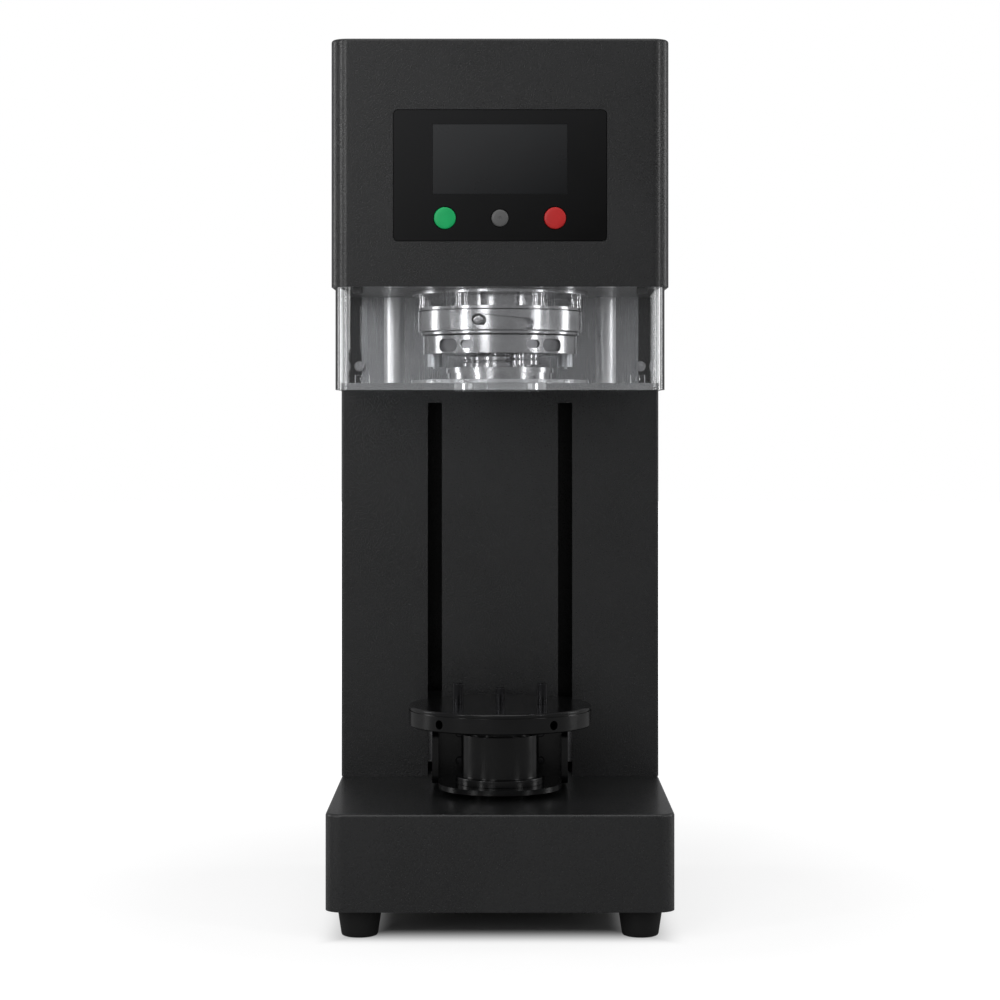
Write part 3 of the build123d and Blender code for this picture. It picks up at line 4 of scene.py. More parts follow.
import bmesh
import bpy
from bpy.props import FloatProperty, FloatVectorProperty, IntProperty, PointerProperty
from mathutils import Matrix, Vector


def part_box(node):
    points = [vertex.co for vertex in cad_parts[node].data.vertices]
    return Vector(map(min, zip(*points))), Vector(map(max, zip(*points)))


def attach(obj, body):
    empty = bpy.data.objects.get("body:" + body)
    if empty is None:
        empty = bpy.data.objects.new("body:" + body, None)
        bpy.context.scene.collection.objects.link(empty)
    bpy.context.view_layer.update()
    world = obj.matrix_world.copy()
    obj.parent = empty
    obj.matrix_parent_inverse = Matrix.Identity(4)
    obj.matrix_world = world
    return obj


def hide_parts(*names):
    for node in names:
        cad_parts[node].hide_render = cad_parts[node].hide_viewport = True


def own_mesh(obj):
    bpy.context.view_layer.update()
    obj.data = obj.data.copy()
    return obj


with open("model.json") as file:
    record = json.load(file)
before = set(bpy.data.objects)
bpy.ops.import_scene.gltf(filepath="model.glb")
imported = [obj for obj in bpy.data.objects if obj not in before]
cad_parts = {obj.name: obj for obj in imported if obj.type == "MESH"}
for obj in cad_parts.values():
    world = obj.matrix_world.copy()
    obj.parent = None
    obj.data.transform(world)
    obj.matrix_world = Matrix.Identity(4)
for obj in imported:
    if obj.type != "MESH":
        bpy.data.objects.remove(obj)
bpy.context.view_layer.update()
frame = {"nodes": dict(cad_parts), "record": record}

bl_info = {
    "name": "Cup Sealing Machine",
    "version": (1, 0, 0),
    "blender": (4, 5, 0),
    "location": "3D View > Sidebar > Cup Sealer",
    "description": "Builds the finished pieces of a cup sealing machine round its working frame",
    "category": "Object",
}

MM = 0.001
TURN_SIGN = -1.0    # transform.rotate turns the other way when there is no window
BEZEL_RIM = 4 * MM  # rim of the control bezel that lies behind the sheet
GUIDE_BORE = 34 * MM
CORE = 0.2 * MM     # radius at which the outline of a solid turned piece starts and ends
MERGE = 1e-6        # distance for merging a new shell's doubles
PAST = 10 * MM      # how far a cutter runs past the face that it cuts

# Boxes of the frame's parts: (lowest corner, highest corner), in metres.
HEAD_LOW, HEAD_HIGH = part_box("head_shell")
BASE_LOW, BASE_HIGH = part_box("base_shell")
BEZEL_LOW, BEZEL_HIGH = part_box("control_bezel")
SCREEN_LOW, SCREEN_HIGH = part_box("display_module")
GUARD_LOW, GUARD_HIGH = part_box("guard_shell")
FLOOR_LOW, FLOOR_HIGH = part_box("guard_floor")
TURRET_LOW, TURRET_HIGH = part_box("turret_body")
CAM_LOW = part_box("cam_ring")[0]
DISC_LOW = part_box("table_disc")[0]
PLATE_LOW, PLATE_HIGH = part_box("table_top_plate")
HUB_LOW, HUB_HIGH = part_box("table_hub")
GUIDE_LOW, GUIDE_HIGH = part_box("can_guide_ring")
HOUSING_LOW, HOUSING_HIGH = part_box("seamer_housing")
SLEEVE_LOW, SLEEVE_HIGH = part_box("guide_sleeve")
CHUCK_LOW, CHUCK_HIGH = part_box("chuck")
TRAY_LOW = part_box("carriage_tray")[0]
AXIS = ((PLATE_LOW[0] + PLATE_HIGH[0]) / 2, (PLATE_LOW[1] + PLATE_HIGH[1]) / 2)


# ---- Modelling helpers ----
def to_object_mode():
    if bpy.context.object and bpy.context.object.mode != "OBJECT":
        bpy.ops.object.mode_set(mode="OBJECT")


def deselect():
    to_object_mode()
    bpy.ops.object.select_all(action="DESELECT")


def take(obj):
    """Deselects everything else and makes the piece active."""
    deselect()
    obj.select_set(True)
    bpy.context.view_layer.objects.active = obj


def place(obj, name):
    """Names a new primitive and moves its place into its mesh."""
    obj.name = name
    obj.data.name = name
    take(obj)
    bpy.ops.object.transform_apply(location=True, rotation=True, scale=True)
    return obj


def edit(obj):
    take(obj)
    bpy.ops.object.mode_set(mode="EDIT")


def edit_all(obj):
    edit(obj)
    bpy.ops.mesh.select_all(action="SELECT")


def pick(obj, kind, test):
    """In edit mode, selects the faces, edges or vertices whose place (and normal) pass the test."""
    bpy.ops.mesh.select_mode(type=kind)
    bpy.ops.mesh.select_all(action="DESELECT")
    mesh = bmesh.from_edit_mesh(obj.data)
    if kind == "FACE":
        for face in mesh.faces:
            face.select_set(test(face.calc_center_median(), face.normal))
    elif kind == "EDGE":
        for edge in mesh.edges:
            ends = [v.co for v in edge.verts]
            edge.select_set(test((ends[0] + ends[1]) / 2, ends[1] - ends[0]))
    else:
        for vert in mesh.verts:
            vert.select_set(test(vert.co, None))
    mesh.select_flush_mode()
    bmesh.update_edit_mesh(obj.data)


def near(value, target, slack=1e-5):
    return abs(value - target) < slack


def block(name, low, high):
    """A block between two corners, as a start for a piece."""
    low, high = Vector(low), Vector(high)
    deselect()
    bpy.ops.mesh.primitive_cube_add(size=1, location=(low + high) / 2, scale=high - low)
    return place(bpy.context.object, name)


def bevel_edges(obj, test, offset, segments):
    edit(obj)
    pick(obj, "EDGE", test)
    bpy.ops.mesh.bevel(offset=offset, segments=segments, profile=0.5, affect="EDGES")
    to_object_mode()


def delete_faces(obj, test):
    edit(obj)
    pick(obj, "FACE", test)
    bpy.ops.mesh.delete(type="FACE")
    to_object_mode()


def apply_modifier(obj, kind, **values):
    take(obj)
    modifier = obj.modifiers.new(kind.title(), kind)
    for key, value in values.items():
        setattr(modifier, key, value)
    bpy.ops.object.modifier_apply(modifier=modifier.name)


def thicken(obj, wall):
    apply_modifier(obj, "SOLIDIFY", thickness=wall, offset=-1.0, use_even_offset=True)


def cut(obj, *cutters):
    """Cuts each cutter out of the piece and removes it."""
    for cutter in cutters:
        apply_modifier(obj, "BOOLEAN", operation="DIFFERENCE", object=cutter, solver="EXACT")
        bpy.data.objects.remove(cutter)
    return obj


def fuse(obj, other):
    """Unites another solid with the piece and removes it."""
    apply_modifier(obj, "BOOLEAN", operation="UNION", object=other, solver="EXACT")
    bpy.data.objects.remove(other)


def join_into(obj, *others):
    """Adds other shells to the piece's mesh."""
    take(obj)
    for other in others:
        other.select_set(True)
    bpy.ops.object.join()
    return obj


def soften(obj, width, angle=40.0):
    """Rounds the sharp edges a little and smooths the rest."""
    apply_modifier(
        obj, "BEVEL", width=width, segments=2, limit_method="ANGLE",
        angle_limit=math.radians(angle), use_clamp_overlap=True, harden_normals=False)
    smooth(obj)


def smooth(obj, angle=34.0):
    take(obj)
    bpy.ops.object.shade_smooth_by_angle(angle=math.radians(angle))
    apply_modifier(obj, "WEIGHTED_NORMAL", keep_sharp=True, weight=60)


def turned(name, centre, outline, sides=96):
    """A lathe-turned piece about an upright axis. The outline is (radius, height) points in metres.

    It starts and ends on solid caps, unless its last point is its first, which makes a ring.
    """
    closed = outline[0] == outline[-1]
    radius, height = outline[0]
    deselect()
    bpy.ops.mesh.primitive_circle_add(
        vertices=sides, radius=radius, location=(centre[0], centre[1], height),
        fill_type="NOTHING" if closed else "NGON",
    )
    obj = place(bpy.context.object, name)
    edit(obj)
    pick(obj, "EDGE", lambda place, along: True)
    for (r0, z0), (r1, z1) in zip(outline, outline[1:]):
        bpy.ops.mesh.extrude_edges_move(TRANSFORM_OT_translate={"value": (0, 0, z1 - z0)})
        middle = (centre[0], centre[1], z1)
        bpy.ops.transform.resize(value=(r1 / r0, r1 / r0, 1), center_override=middle)
    if not closed:
        bpy.ops.mesh.edge_face_add()
    bpy.ops.mesh.select_all(action="SELECT")
    bpy.ops.mesh.remove_doubles(threshold=MERGE)
    bpy.ops.mesh.normals_make_consistent(inside=False)
    to_object_mode()
    return obj


def tube(name, centre, outer, inner, z0, z1, sides=96):
    ring = [(outer, z0), (outer, z1), (inner, z1), (inner, z0), (outer, z0)]
    return turned(name, centre, ring, sides)


def lay_along_y(obj, x, y, z):
    """Lays a piece that was turned about the upright axis at the origin so that its top faces the front."""
    take(obj)
    obj.rotation_euler = (math.radians(90), 0, 0)
    obj.location = (x, y, z)
    bpy.ops.object.transform_apply(location=True, rotation=True, scale=True)
    return obj


def swing(obj, centre, degrees):
    """Turns a piece about an upright axis, anticlockwise from above."""
    edit_all(obj)
    bpy.ops.transform.rotate(
        value=TURN_SIGN * math.radians(degrees), orient_axis="Z", orient_type="GLOBAL",
        center_override=(centre[0], centre[1], 0.0))
    to_object_mode()
    return obj


def copy_of_node(node, name):
    """A copy of one of the frame's nodes as a clean mesh, to give its edges a finish."""
    take(frame["nodes"][node])
    bpy.ops.object.duplicate(linked=False)
    obj = bpy.context.object
    obj.name = name
    obj.data.name = name
    edit_all(obj)
    bpy.ops.mesh.remove_doubles(threshold=2e-6)
    bpy.ops.mesh.dissolve_limited(angle_limit=math.radians(0.6))
    to_object_mode()
    return obj


def finish_piece(obj, body, material, slot, *nodes):
    """Gives a piece its finish, the body that it rides on and the nodes that it stands for."""
    obj.data.materials.clear()
    obj.data.materials.append(material)
    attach(obj, body)
    if nodes:
        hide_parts(*nodes)
    return obj


def give_faces(obj, material, test):
    """Gives some of a piece's faces a second material: the flutes' painted highlight and the turret
    windows' painted shade.
    """
    obj.data.materials.append(material)
    edit(obj)
    pick(obj, "FACE", test)
    obj.active_material_index = 1
    bpy.ops.object.material_slot_assign()
    to_object_mode()


def paint_node(name, material):
    """Gives a node of the frame a finish."""
    node = frame["nodes"][name]
    for index in range(max(1, len(node.material_slots))):
        if node.material_slots:
            node.material_slots[index].material = material
        else:
            node.data.materials.append(material)


# ---- Node groups ----
def new_group(name, inputs, outputs):
    """A shader group with float or vector inputs, at their defaults, and float outputs."""
    group = bpy.data.node_groups.new(name, "ShaderNodeTree")
    for label, default in inputs.items():
        kind = "NodeSocketVector" if isinstance(default, tuple) else "NodeSocketFloat"
        group.interface.new_socket(label, in_out="INPUT", socket_type=kind).default_value = default
    for label in outputs:
        group.interface.new_socket(label, in_out="OUTPUT", socket_type="NodeSocketFloat")
    return group, group.nodes.new("NodeGroupInput").outputs, group.nodes.new("NodeGroupOutput")


def fill(tree, node, inputs):
    """Sets a node's inputs. One that is given a socket is linked to it."""
    for key, value in inputs.items():
        if isinstance(value, bpy.types.NodeSocket):
            tree.links.new(value, node.inputs[key])
        else:
            node.inputs[key].default_value = value


def add(tree, kind, inputs=None, **values):
    """Adds a shader node, sets its options and inputs, and gives its outputs."""
    node = tree.nodes.new("ShaderNode" + kind)
    for key, value in values.items():
        setattr(node, key, value)
    fill(tree, node, inputs or {})
    return node.outputs


def maths(tree, operation, first, second):
    return add(tree, "Math", {0: first, 1: second}, operation=operation)["Value"]


def ramp(tree, value, low, high, from_low=0.3, from_high=0.7):
    """Maps a mask to a range of values."""
    limits = {"From Min": from_low, "From Max": from_high, "To Min": low, "To Max": high}
    return add(tree, "MapRange", {"Value": value, **limits})["Result"]


def grain_group():
    """Fine orange-peel texture of a powder coat, with broad soft patches and stray dust."""
    name = "Powder Grain"
    if name in bpy.data.node_groups:
        return bpy.data.node_groups[name]
    group, start, end = new_group(
        name, {"Grain Scale": 1500.0, "Patch Scale": 9.0}, ("Height", "Patches", "Specks"))
    where = add(group, "TexCoord")["Object"]
    grain = add(group, "TexNoise", {
        "Vector": where, "Scale": start["Grain Scale"], "Detail": 2.0, "Roughness": 0.6})
    patch = add(group, "TexNoise", {
        "Vector": where, "Scale": start["Patch Scale"], "Detail": 4.0, "Roughness": 0.62})
    speck = add(group, "TexVoronoi", {"Vector": where, "Scale": 420.0, "Randomness": 1.0})
    dust = ramp(group, speck["Distance"], 0.0, 1.0, 0.16, 0.08)
    fill(group, end, {"Height": grain["Fac"], "Patches": patch["Fac"], "Specks": dust})
    return group


def lathe_group():
    """Fine turning marks that run round the working axis, and soft handling marks across them."""
    name = "Lathe Marks"
    if name in bpy.data.node_groups:
        return bpy.data.node_groups[name]
    group, start, end = new_group(
        name, {"Centre": (0.0, 0.0, 0.0), "Pitch": 2600.0}, ("Marks", "Handling"))
    where = add(group, "TexCoord")["Object"]
    shift = add(group, "VectorMath", {0: where, 1: start["Centre"]}, operation="SUBTRACT")
    flat = add(group, "VectorMath", {0: shift["Vector"], 1: (1.0, 1.0, 0.0)}, operation="MULTIPLY")
    reach = add(group, "VectorMath", {0: flat["Vector"]}, operation="LENGTH")
    height = add(group, "SeparateXYZ", {"Vector": where})["Z"]
    pair = add(group, "CombineXYZ", {"X": reach["Value"], "Z": height})
    marks = add(group, "TexNoise", {
        "Vector": pair["Vector"], "Scale": start["Pitch"], "Detail": 3.0, "Roughness": 0.7})
    handling = add(group, "TexNoise", {
        "Vector": where, "Scale": 60.0, "Detail": 5.0, "Roughness": 0.65})
    fill(group, end, {"Marks": marks["Fac"], "Handling": handling["Fac"]})
    return group


# ---- Materials ----
def start_material(name):
    """A material with its tree and Principled BSDF, which are None if it is already made."""
    if name in bpy.data.materials:
        return bpy.data.materials[name], None, None
    material = bpy.data.materials.new(name)
    material.use_nodes = True
    tree = material.node_tree
    return material, tree, tree.nodes["Principled BSDF"]


def tint(tree, mask, dark, light):
    """Mixes two colours by a mask. The dark one may be a socket."""
    if not isinstance(dark, bpy.types.NodeSocket):
        dark = (*dark, 1.0)
    colours = {"A": dark, "B": (*light, 1.0), "Factor": mask}
    return add(tree, "Mix", colours, data_type="RGBA")["Result"]


def bump(tree, height, strength, distance):
    relief = {"Strength": strength, "Distance": distance, "Height": height}
    return add(tree, "Bump", relief)["Normal"]


def powder_coat():
    """Fine-textured black powder coat on sheet steel."""
    material, tree, shader = start_material("Black Powder Coat")
    if tree is None:
        return material
    look = bpy.context.scene.cup_sealer_finish
    level = look.powder_roughness
    base = Vector(look.powder_colour)
    scales = {"Grain Scale": look.grain_scale, "Patch Scale": 11.0}
    grain = add(tree, "Group", scales, node_tree=grain_group())
    colour = tint(tree, ramp(tree, grain["Patches"], 0.0, 1.0), base * 0.82, base * 1.18)
    rough = ramp(tree, grain["Patches"], level - 0.05, level + 0.05)
    fill(tree, shader, {
        "Base Color": tint(tree, ramp(tree, grain["Specks"], 0.0, 0.35, 0.0, 1.0), colour, base * 3.0),
        "Roughness": maths(tree, "ADD", rough, ramp(tree, grain["Height"], -0.16, 0.16)),
        "Specular IOR Level": 0.52, "Coat Weight": 0.35, "Coat Roughness": 0.2,
        "Normal": bump(tree, grain["Height"], 0.85, 0.0003),
    })
    return material


def turned_metal(name, colour, roughness, marks=0.25):
    """Turned and polished metal, with its marks round the working axis."""
    material, tree, shader = start_material(name)
    if tree is None:
        return material
    base = Vector(colour)
    lathe = add(tree, "Group", {"Centre": (*AXIS, 0.0)}, node_tree=lathe_group())
    worn = ramp(tree, lathe["Handling"], roughness * 0.8, roughness * 1.25)
    fill(tree, shader, {
        "Metallic": 1.0,
        "Base Color": tint(tree, ramp(tree, lathe["Handling"], 0.0, 1.0), base * 0.9, base),
        "Roughness": maths(tree, "MULTIPLY", ramp(tree, lathe["Marks"], 0.75, 1.3), worn),
        "Normal": bump(tree, lathe["Marks"], marks, 0.00004),
    })
    return material


def bright_aluminium():
    return turned_metal("Turned Aluminium", (0.60, 0.60, 0.612), 0.18)


def polished_steel():
    return turned_metal("Polished Steel", (0.56, 0.56, 0.575), 0.14, 0.15)


# Painted highlight: a near-white copy of the turned metal for the flutes' faces, standing in for the bright
# reflections of the softboxes on them.
def flute_painted_highlight():
    return turned_metal("Flute Painted Highlight", (0.93, 0.93, 0.94), 0.36, 0.03)


# Painted shade: a darker copy of the turned aluminium for the inner faces of the turret's windows, where
# shade falls.
def window_painted_shade():
    return turned_metal("Window Painted Shade", (0.24, 0.24, 0.25), 0.34)


def dark_pin_steel():
    return turned_metal("Dark Ground Steel", (0.035, 0.035, 0.037), 0.13, 0.15)


def zinc_steel():
    return turned_metal("Zinc Plate", (0.55, 0.56, 0.58), 0.34, 0.3)


def sheet_stainless():
    """Bright rolled sheet with upright grain."""
    material, tree, shader = start_material("Rolled Stainless")
    if tree is None:
        return material
    where = add(tree, "TexCoord")["Object"]
    stretch = add(tree, "Mapping", {"Scale": (2200.0, 1.0, 22.0), "Vector": where})
    grain = add(tree, "TexNoise", {"Vector": stretch["Vector"], "Scale": 1.0, "Detail": 3.0})["Fac"]
    fill(tree, shader, {
        "Metallic": 1.0, "Base Color": (0.46, 0.465, 0.475, 1.0),
        "Roughness": ramp(tree, grain, 0.24, 0.28), "Normal": bump(tree, grain, 0.02, 0.00002),
    })
    return material


def black_oxide():
    """Satin blackened steel: dark, with soft bright edges where light rakes it."""
    material, tree, shader = start_material("Black Oxide")
    if tree is None:
        return material
    lathe = add(tree, "Group", {"Centre": (*AXIS, 0.0), "Pitch": 1800.0}, node_tree=lathe_group())
    worn = ramp(tree, lathe["Handling"], 0.0, 1.0)
    fill(tree, shader, {
        "Base Color": tint(tree, worn, (0.0015, 0.0015, 0.0017), (0.0035, 0.0035, 0.0038)),
        "Roughness": ramp(tree, lathe["Handling"], 0.15, 0.25), "Specular IOR Level": 0.42,
        "Normal": bump(tree, lathe["Marks"], 0.12, 0.00004),
    })
    return material


def moulded(name, colour, roughness, grain_scale=2200.0, strength=0.12):
    """A moulded plastic or rubber with a fine grain and slightly uneven sheen."""
    material, tree, shader = start_material(name)
    if tree is None:
        return material
    base = Vector(colour)
    scales = {"Grain Scale": grain_scale, "Patch Scale": 60.0}
    grain = add(tree, "Group", scales, node_tree=grain_group())
    fill(tree, shader, {
        "Base Color": tint(tree, ramp(tree, grain["Patches"], 0.0, 1.0), base * 0.9, base * 1.08),
        "Roughness": ramp(tree, grain["Patches"], roughness - 0.04, roughness + 0.05),
        "Normal": bump(tree, grain["Height"], strength, 0.00006),
    })
    return material


def black_plastic():
    return moulded("Black Plastic", (0.012, 0.012, 0.013), 0.45)


def foot_rubber():
    return moulded("Foot Rubber", (0.0035, 0.0035, 0.0035), 0.7)


def film_with_painted_sheen(name, dark, light, roughness, low, high):
    """A smooth tinted film with a painted sheen: its colour is painted lighter towards its upper left
    corner, in place of the lamps' reflection.
    """
    material, tree, shader = start_material(name)
    if tree is None:
        return material
    where = add(tree, "TexCoord")["Object"]
    wide = high[0] - low[0]
    tall = high[2] - low[2]
    across = add(tree, "Mapping", {
        "Location": (-low[0] / wide, 0.0, -low[2] / tall), "Scale": (1 / wide, 1.0, 1 / tall),
        "Vector": where})
    split = add(tree, "SeparateXYZ", {"Vector": across["Vector"]})
    # Painted sheen: the mask runs from the lower right to the upper left, and the colour is painted from
    # dark to light along it.
    mask = ramp(tree, maths(tree, "SUBTRACT", split["Z"], split["X"]), 0.0, 1.0, -0.9, 0.9)
    haze = add(tree, "TexNoise", {"Vector": where, "Scale": 40.0, "Detail": 4.0})["Fac"]
    fill(tree, shader, {
        "Base Color": tint(tree, mask, dark, light), "Specular IOR Level": 0.16,
        "Roughness": ramp(tree, haze, roughness - 0.03, roughness + 0.04),
    })
    return material


def clear_acrylic(name="Clear Acrylic", clearness=1.0):
    """Clear cast acrylic: refracts the view, and lets light through to what is behind it."""
    material, tree, shader = start_material(name)
    if tree is None:
        return material
    where = add(tree, "TexCoord")["Object"]
    haze = add(tree, "TexNoise", {"Vector": where, "Scale": 55.0, "Detail": 5.0})["Fac"]
    fill(tree, shader, {
        "Base Color": (0.975, 0.98, 0.985, 1.0), "Transmission Weight": clearness, "IOR": 1.49,
        "Roughness": ramp(tree, haze, 0.0, 0.03),
    })
    clear = add(tree, "BsdfTransparent", {"Color": (0.93, 0.94, 0.95, 1.0)})
    shadow = add(tree, "LightPath")["Is Shadow Ray"]
    mix = add(tree, "MixShader", {"Fac": shadow, 1: shader.outputs["BSDF"], 2: clear["BSDF"]})
    fill(tree, tree.nodes["Material Output"], {"Surface": mix["Shader"]})
    return material


# ---- Settings ----
class CupSealerCase(bpy.types.PropertyGroup):
    """Sizes of the sheet-metal case and the clear guard."""
    corner_radius: FloatProperty(
        name="Corner Radius", description="Radius of the upright corners",
        default=12 * MM, min=0.0, unit="LENGTH")
    edge_radius: FloatProperty(
        name="Edge Radius", description="Radius of the folded top edges",
        default=2 * MM, min=0.0, unit="LENGTH")
    base_sheet: FloatProperty(
        name="Base Sheet", description="Thickness of the base case",
        default=2 * MM, min=0.0, unit="LENGTH")
    head_sheet: FloatProperty(
        name="Head Sheet", description="Thickness of the head case",
        default=2.5 * MM, min=0.0, unit="LENGTH")
    vent_count: IntProperty(name="Vents", description="Louvres in the back of the head", default=6, min=0)
    guard_wall: FloatProperty(
        name="Guard Wall", description="Thickness of the clear guard",
        default=3 * MM, min=0.0, unit="LENGTH")


class CupSealerSeamer(bpy.types.PropertyGroup):
    """Sizes of the seaming head and the table."""
    edge_break: FloatProperty(
        name="Edge Break", description="Rounding on turned edges", default=0.3 * MM, min=0.0, unit="LENGTH")
    sides: IntProperty(name="Round Sides", description="Sides of a large turned piece", default=128, min=24)
    post_count: IntProperty(name="Posts", description="Posts that hold the guide sleeve", default=6, min=1)


class CupSealerFinish(bpy.types.PropertyGroup):
    """Colours and surface qualities."""
    powder_colour: FloatVectorProperty(
        name="Powder Colour", description="Colour of the powder coat", subtype="COLOR", size=3,
        default=(0.0085, 0.0088, 0.0094), min=0.0, max=1.0)
    powder_roughness: FloatProperty(
        name="Powder Roughness", description="Roughness of the powder coat", default=0.36, min=0.0, max=1.0)
    grain_scale: FloatProperty(
        name="Grain Scale", description="Fineness of the powder grain", default=1150.0, min=1.0)
    green: FloatVectorProperty(
        name="Start Button", description="Colour of the green button", subtype="COLOR", size=3,
        default=(0.002, 0.52, 0.15), min=0.0, max=1.0)
    grey: FloatVectorProperty(
        name="Set Button", description="Colour of the grey button", subtype="COLOR", size=3,
        default=(0.14, 0.14, 0.14), min=0.0, max=1.0)
    red: FloatVectorProperty(
        name="Stop Button", description="Colour of the red button", subtype="COLOR", size=3,
        default=(0.62, 0.018, 0.018), min=0.0, max=1.0)


# ---- Case ----
def upright_edges(high):
    """A test for a block's upright edges that are as tall as the block."""
    def test(place, along):
        return near(along.x, 0) and near(along.y, 0) and abs(along.z) > 0.9 * high
    return test


def case_shell(name, low, high, wall):
    """An open-bottomed folded case with rounded corners."""
    case = bpy.context.scene.cup_sealer_case
    obj = block(name, low, high)
    bevel_edges(obj, upright_edges(high[2] - low[2]), case.corner_radius, 10)
    bevel_edges(obj, lambda place, along: near(place.z, high[2]), case.edge_radius, 4)
    delete_faces(obj, lambda place, normal: near(place.z, low[2]) and normal.z < -0.9)
    thicken(obj, wall)
    return obj


def rounded_block(name, low, high, radius, axis_index, segments=6):
    """A block with the four edges along one axis rounded."""
    obj = block(name, low, high)
    others = [i for i in range(3) if i != axis_index]
    bevel_edges(obj, lambda place, along: all(near(along[i], 0) for i in others), radius, segments)
    return obj


def bore(x, y, radius, z0, z1, sides=64):
    """An upright cutter."""
    return turned("bore", (x, y), [(radius, z0), (radius, z1)], sides)


def bore_y(x, z, radius, y0, y1, sides=48):
    """A cutter that runs front to back."""
    return lay_along_y(turned("bore", (0, 0), [(radius, -y1), (radius, -y0)], sides), x, 0, z)


def side_hole(radius, reach, depth, z, angle, sides):
    """A cutter for a blind hole in the side of a piece that is turned about the working axis."""
    hole = turned("hole", (0, 0), [(radius, -reach - PAST), (radius, -reach + depth)], sides)
    lay_along_y(hole, AXIS[0], AXIS[1], z)
    return swing(hole, AXIS, angle)


class CUPSEALER_OT_base(bpy.types.Operator):
    """Folds the base case"""
    bl_idname = "cup_sealer.base"
    bl_label = "Base Case"

    def execute(self, context):
        case = context.scene.cup_sealer_case
        obj = case_shell("base_case", BASE_LOW, BASE_HIGH, case.base_sheet)
        reach = 85.5 * MM
        well_front = 62 * MM
        well_back = 122 * MM
        top = BASE_HIGH[2]
        cut(obj, block("well", (-reach, well_front, top - 4 * MM), (reach, well_back, top + MM)))
        smooth(obj, 40)
        finish_piece(obj, "frame", powder_coat(), "black_powder_coat", "base_shell")
        return {"FINISHED"}


class CUPSEALER_OT_feet(bpy.types.Operator):
    """Turns the four rubber feet"""
    bl_idname = "cup_sealer.feet"
    bl_label = "Rubber Feet"

    def execute(self, context):
        low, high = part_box("rubber_feet")
        top_radius = 15.8 * MM
        foot_radius = 12.7 * MM
        bore_radius = 4.9 * MM
        depth = 6 * MM
        height = high[2] - low[2]
        outline = [
            (bore_radius, depth), (bore_radius, 0.0), (foot_radius - 1.6 * MM, 0.0),
            (foot_radius - 0.5 * MM, 0.4 * MM), (foot_radius + 0.05 * MM, 1.5 * MM),
            (top_radius - 0.6 * MM, height - 2.4 * MM), (top_radius, height - 1.4 * MM),
            (top_radius, height), (2.1 * MM, height), (2.1 * MM, depth), (bore_radius, depth),
        ]
        feet = []
        for x in (low[0] + top_radius, high[0] - top_radius):
            for y in (low[1] + top_radius, high[1] - top_radius):
                foot = turned("rubber_foot", (x, y), outline, 48)
                soften(foot, 0.2 * MM, 30)
                feet.append(foot)
        obj = join_into(*feet)
        obj.name = "moulded_feet"
        finish_piece(obj, "frame", foot_rubber(), "rubber", "rubber_feet")
        return {"FINISHED"}


class CUPSEALER_OT_head(bpy.types.Operator):
    """Folds the head case, with its panel window and rear louvres"""
    bl_idname = "cup_sealer.head"
    bl_label = "Head Case"

    def execute(self, context):
        case = context.scene.cup_sealer_case
        obj = case_shell("head_case", HEAD_LOW, HEAD_HIGH, case.head_sheet)
        inset = BEZEL_RIM - 0.4 * MM
        low = (BEZEL_LOW[0] + inset, HEAD_LOW[1] - PAST, BEZEL_LOW[2] + inset)
        high = (BEZEL_HIGH[0] - inset, HEAD_LOW[1] + PAST, BEZEL_HIGH[2] - inset)
        cut(obj, rounded_block("window", low, high, 3.4 * MM, 1))
        vent = (45 * MM, PAST, 2 * MM)
        for index in range(case.vent_count):
            middle = Vector((0, HEAD_HIGH[1], HEAD_HIGH[2] - (50 + 10 * index) * MM))
            cut(obj, rounded_block("vent", middle - Vector(vent), middle + Vector(vent), 1.99 * MM, 1))
        smooth(obj, 40)
        finish_piece(obj, "frame", powder_coat(), "black_powder_coat", "head_shell")
        return {"FINISHED"}


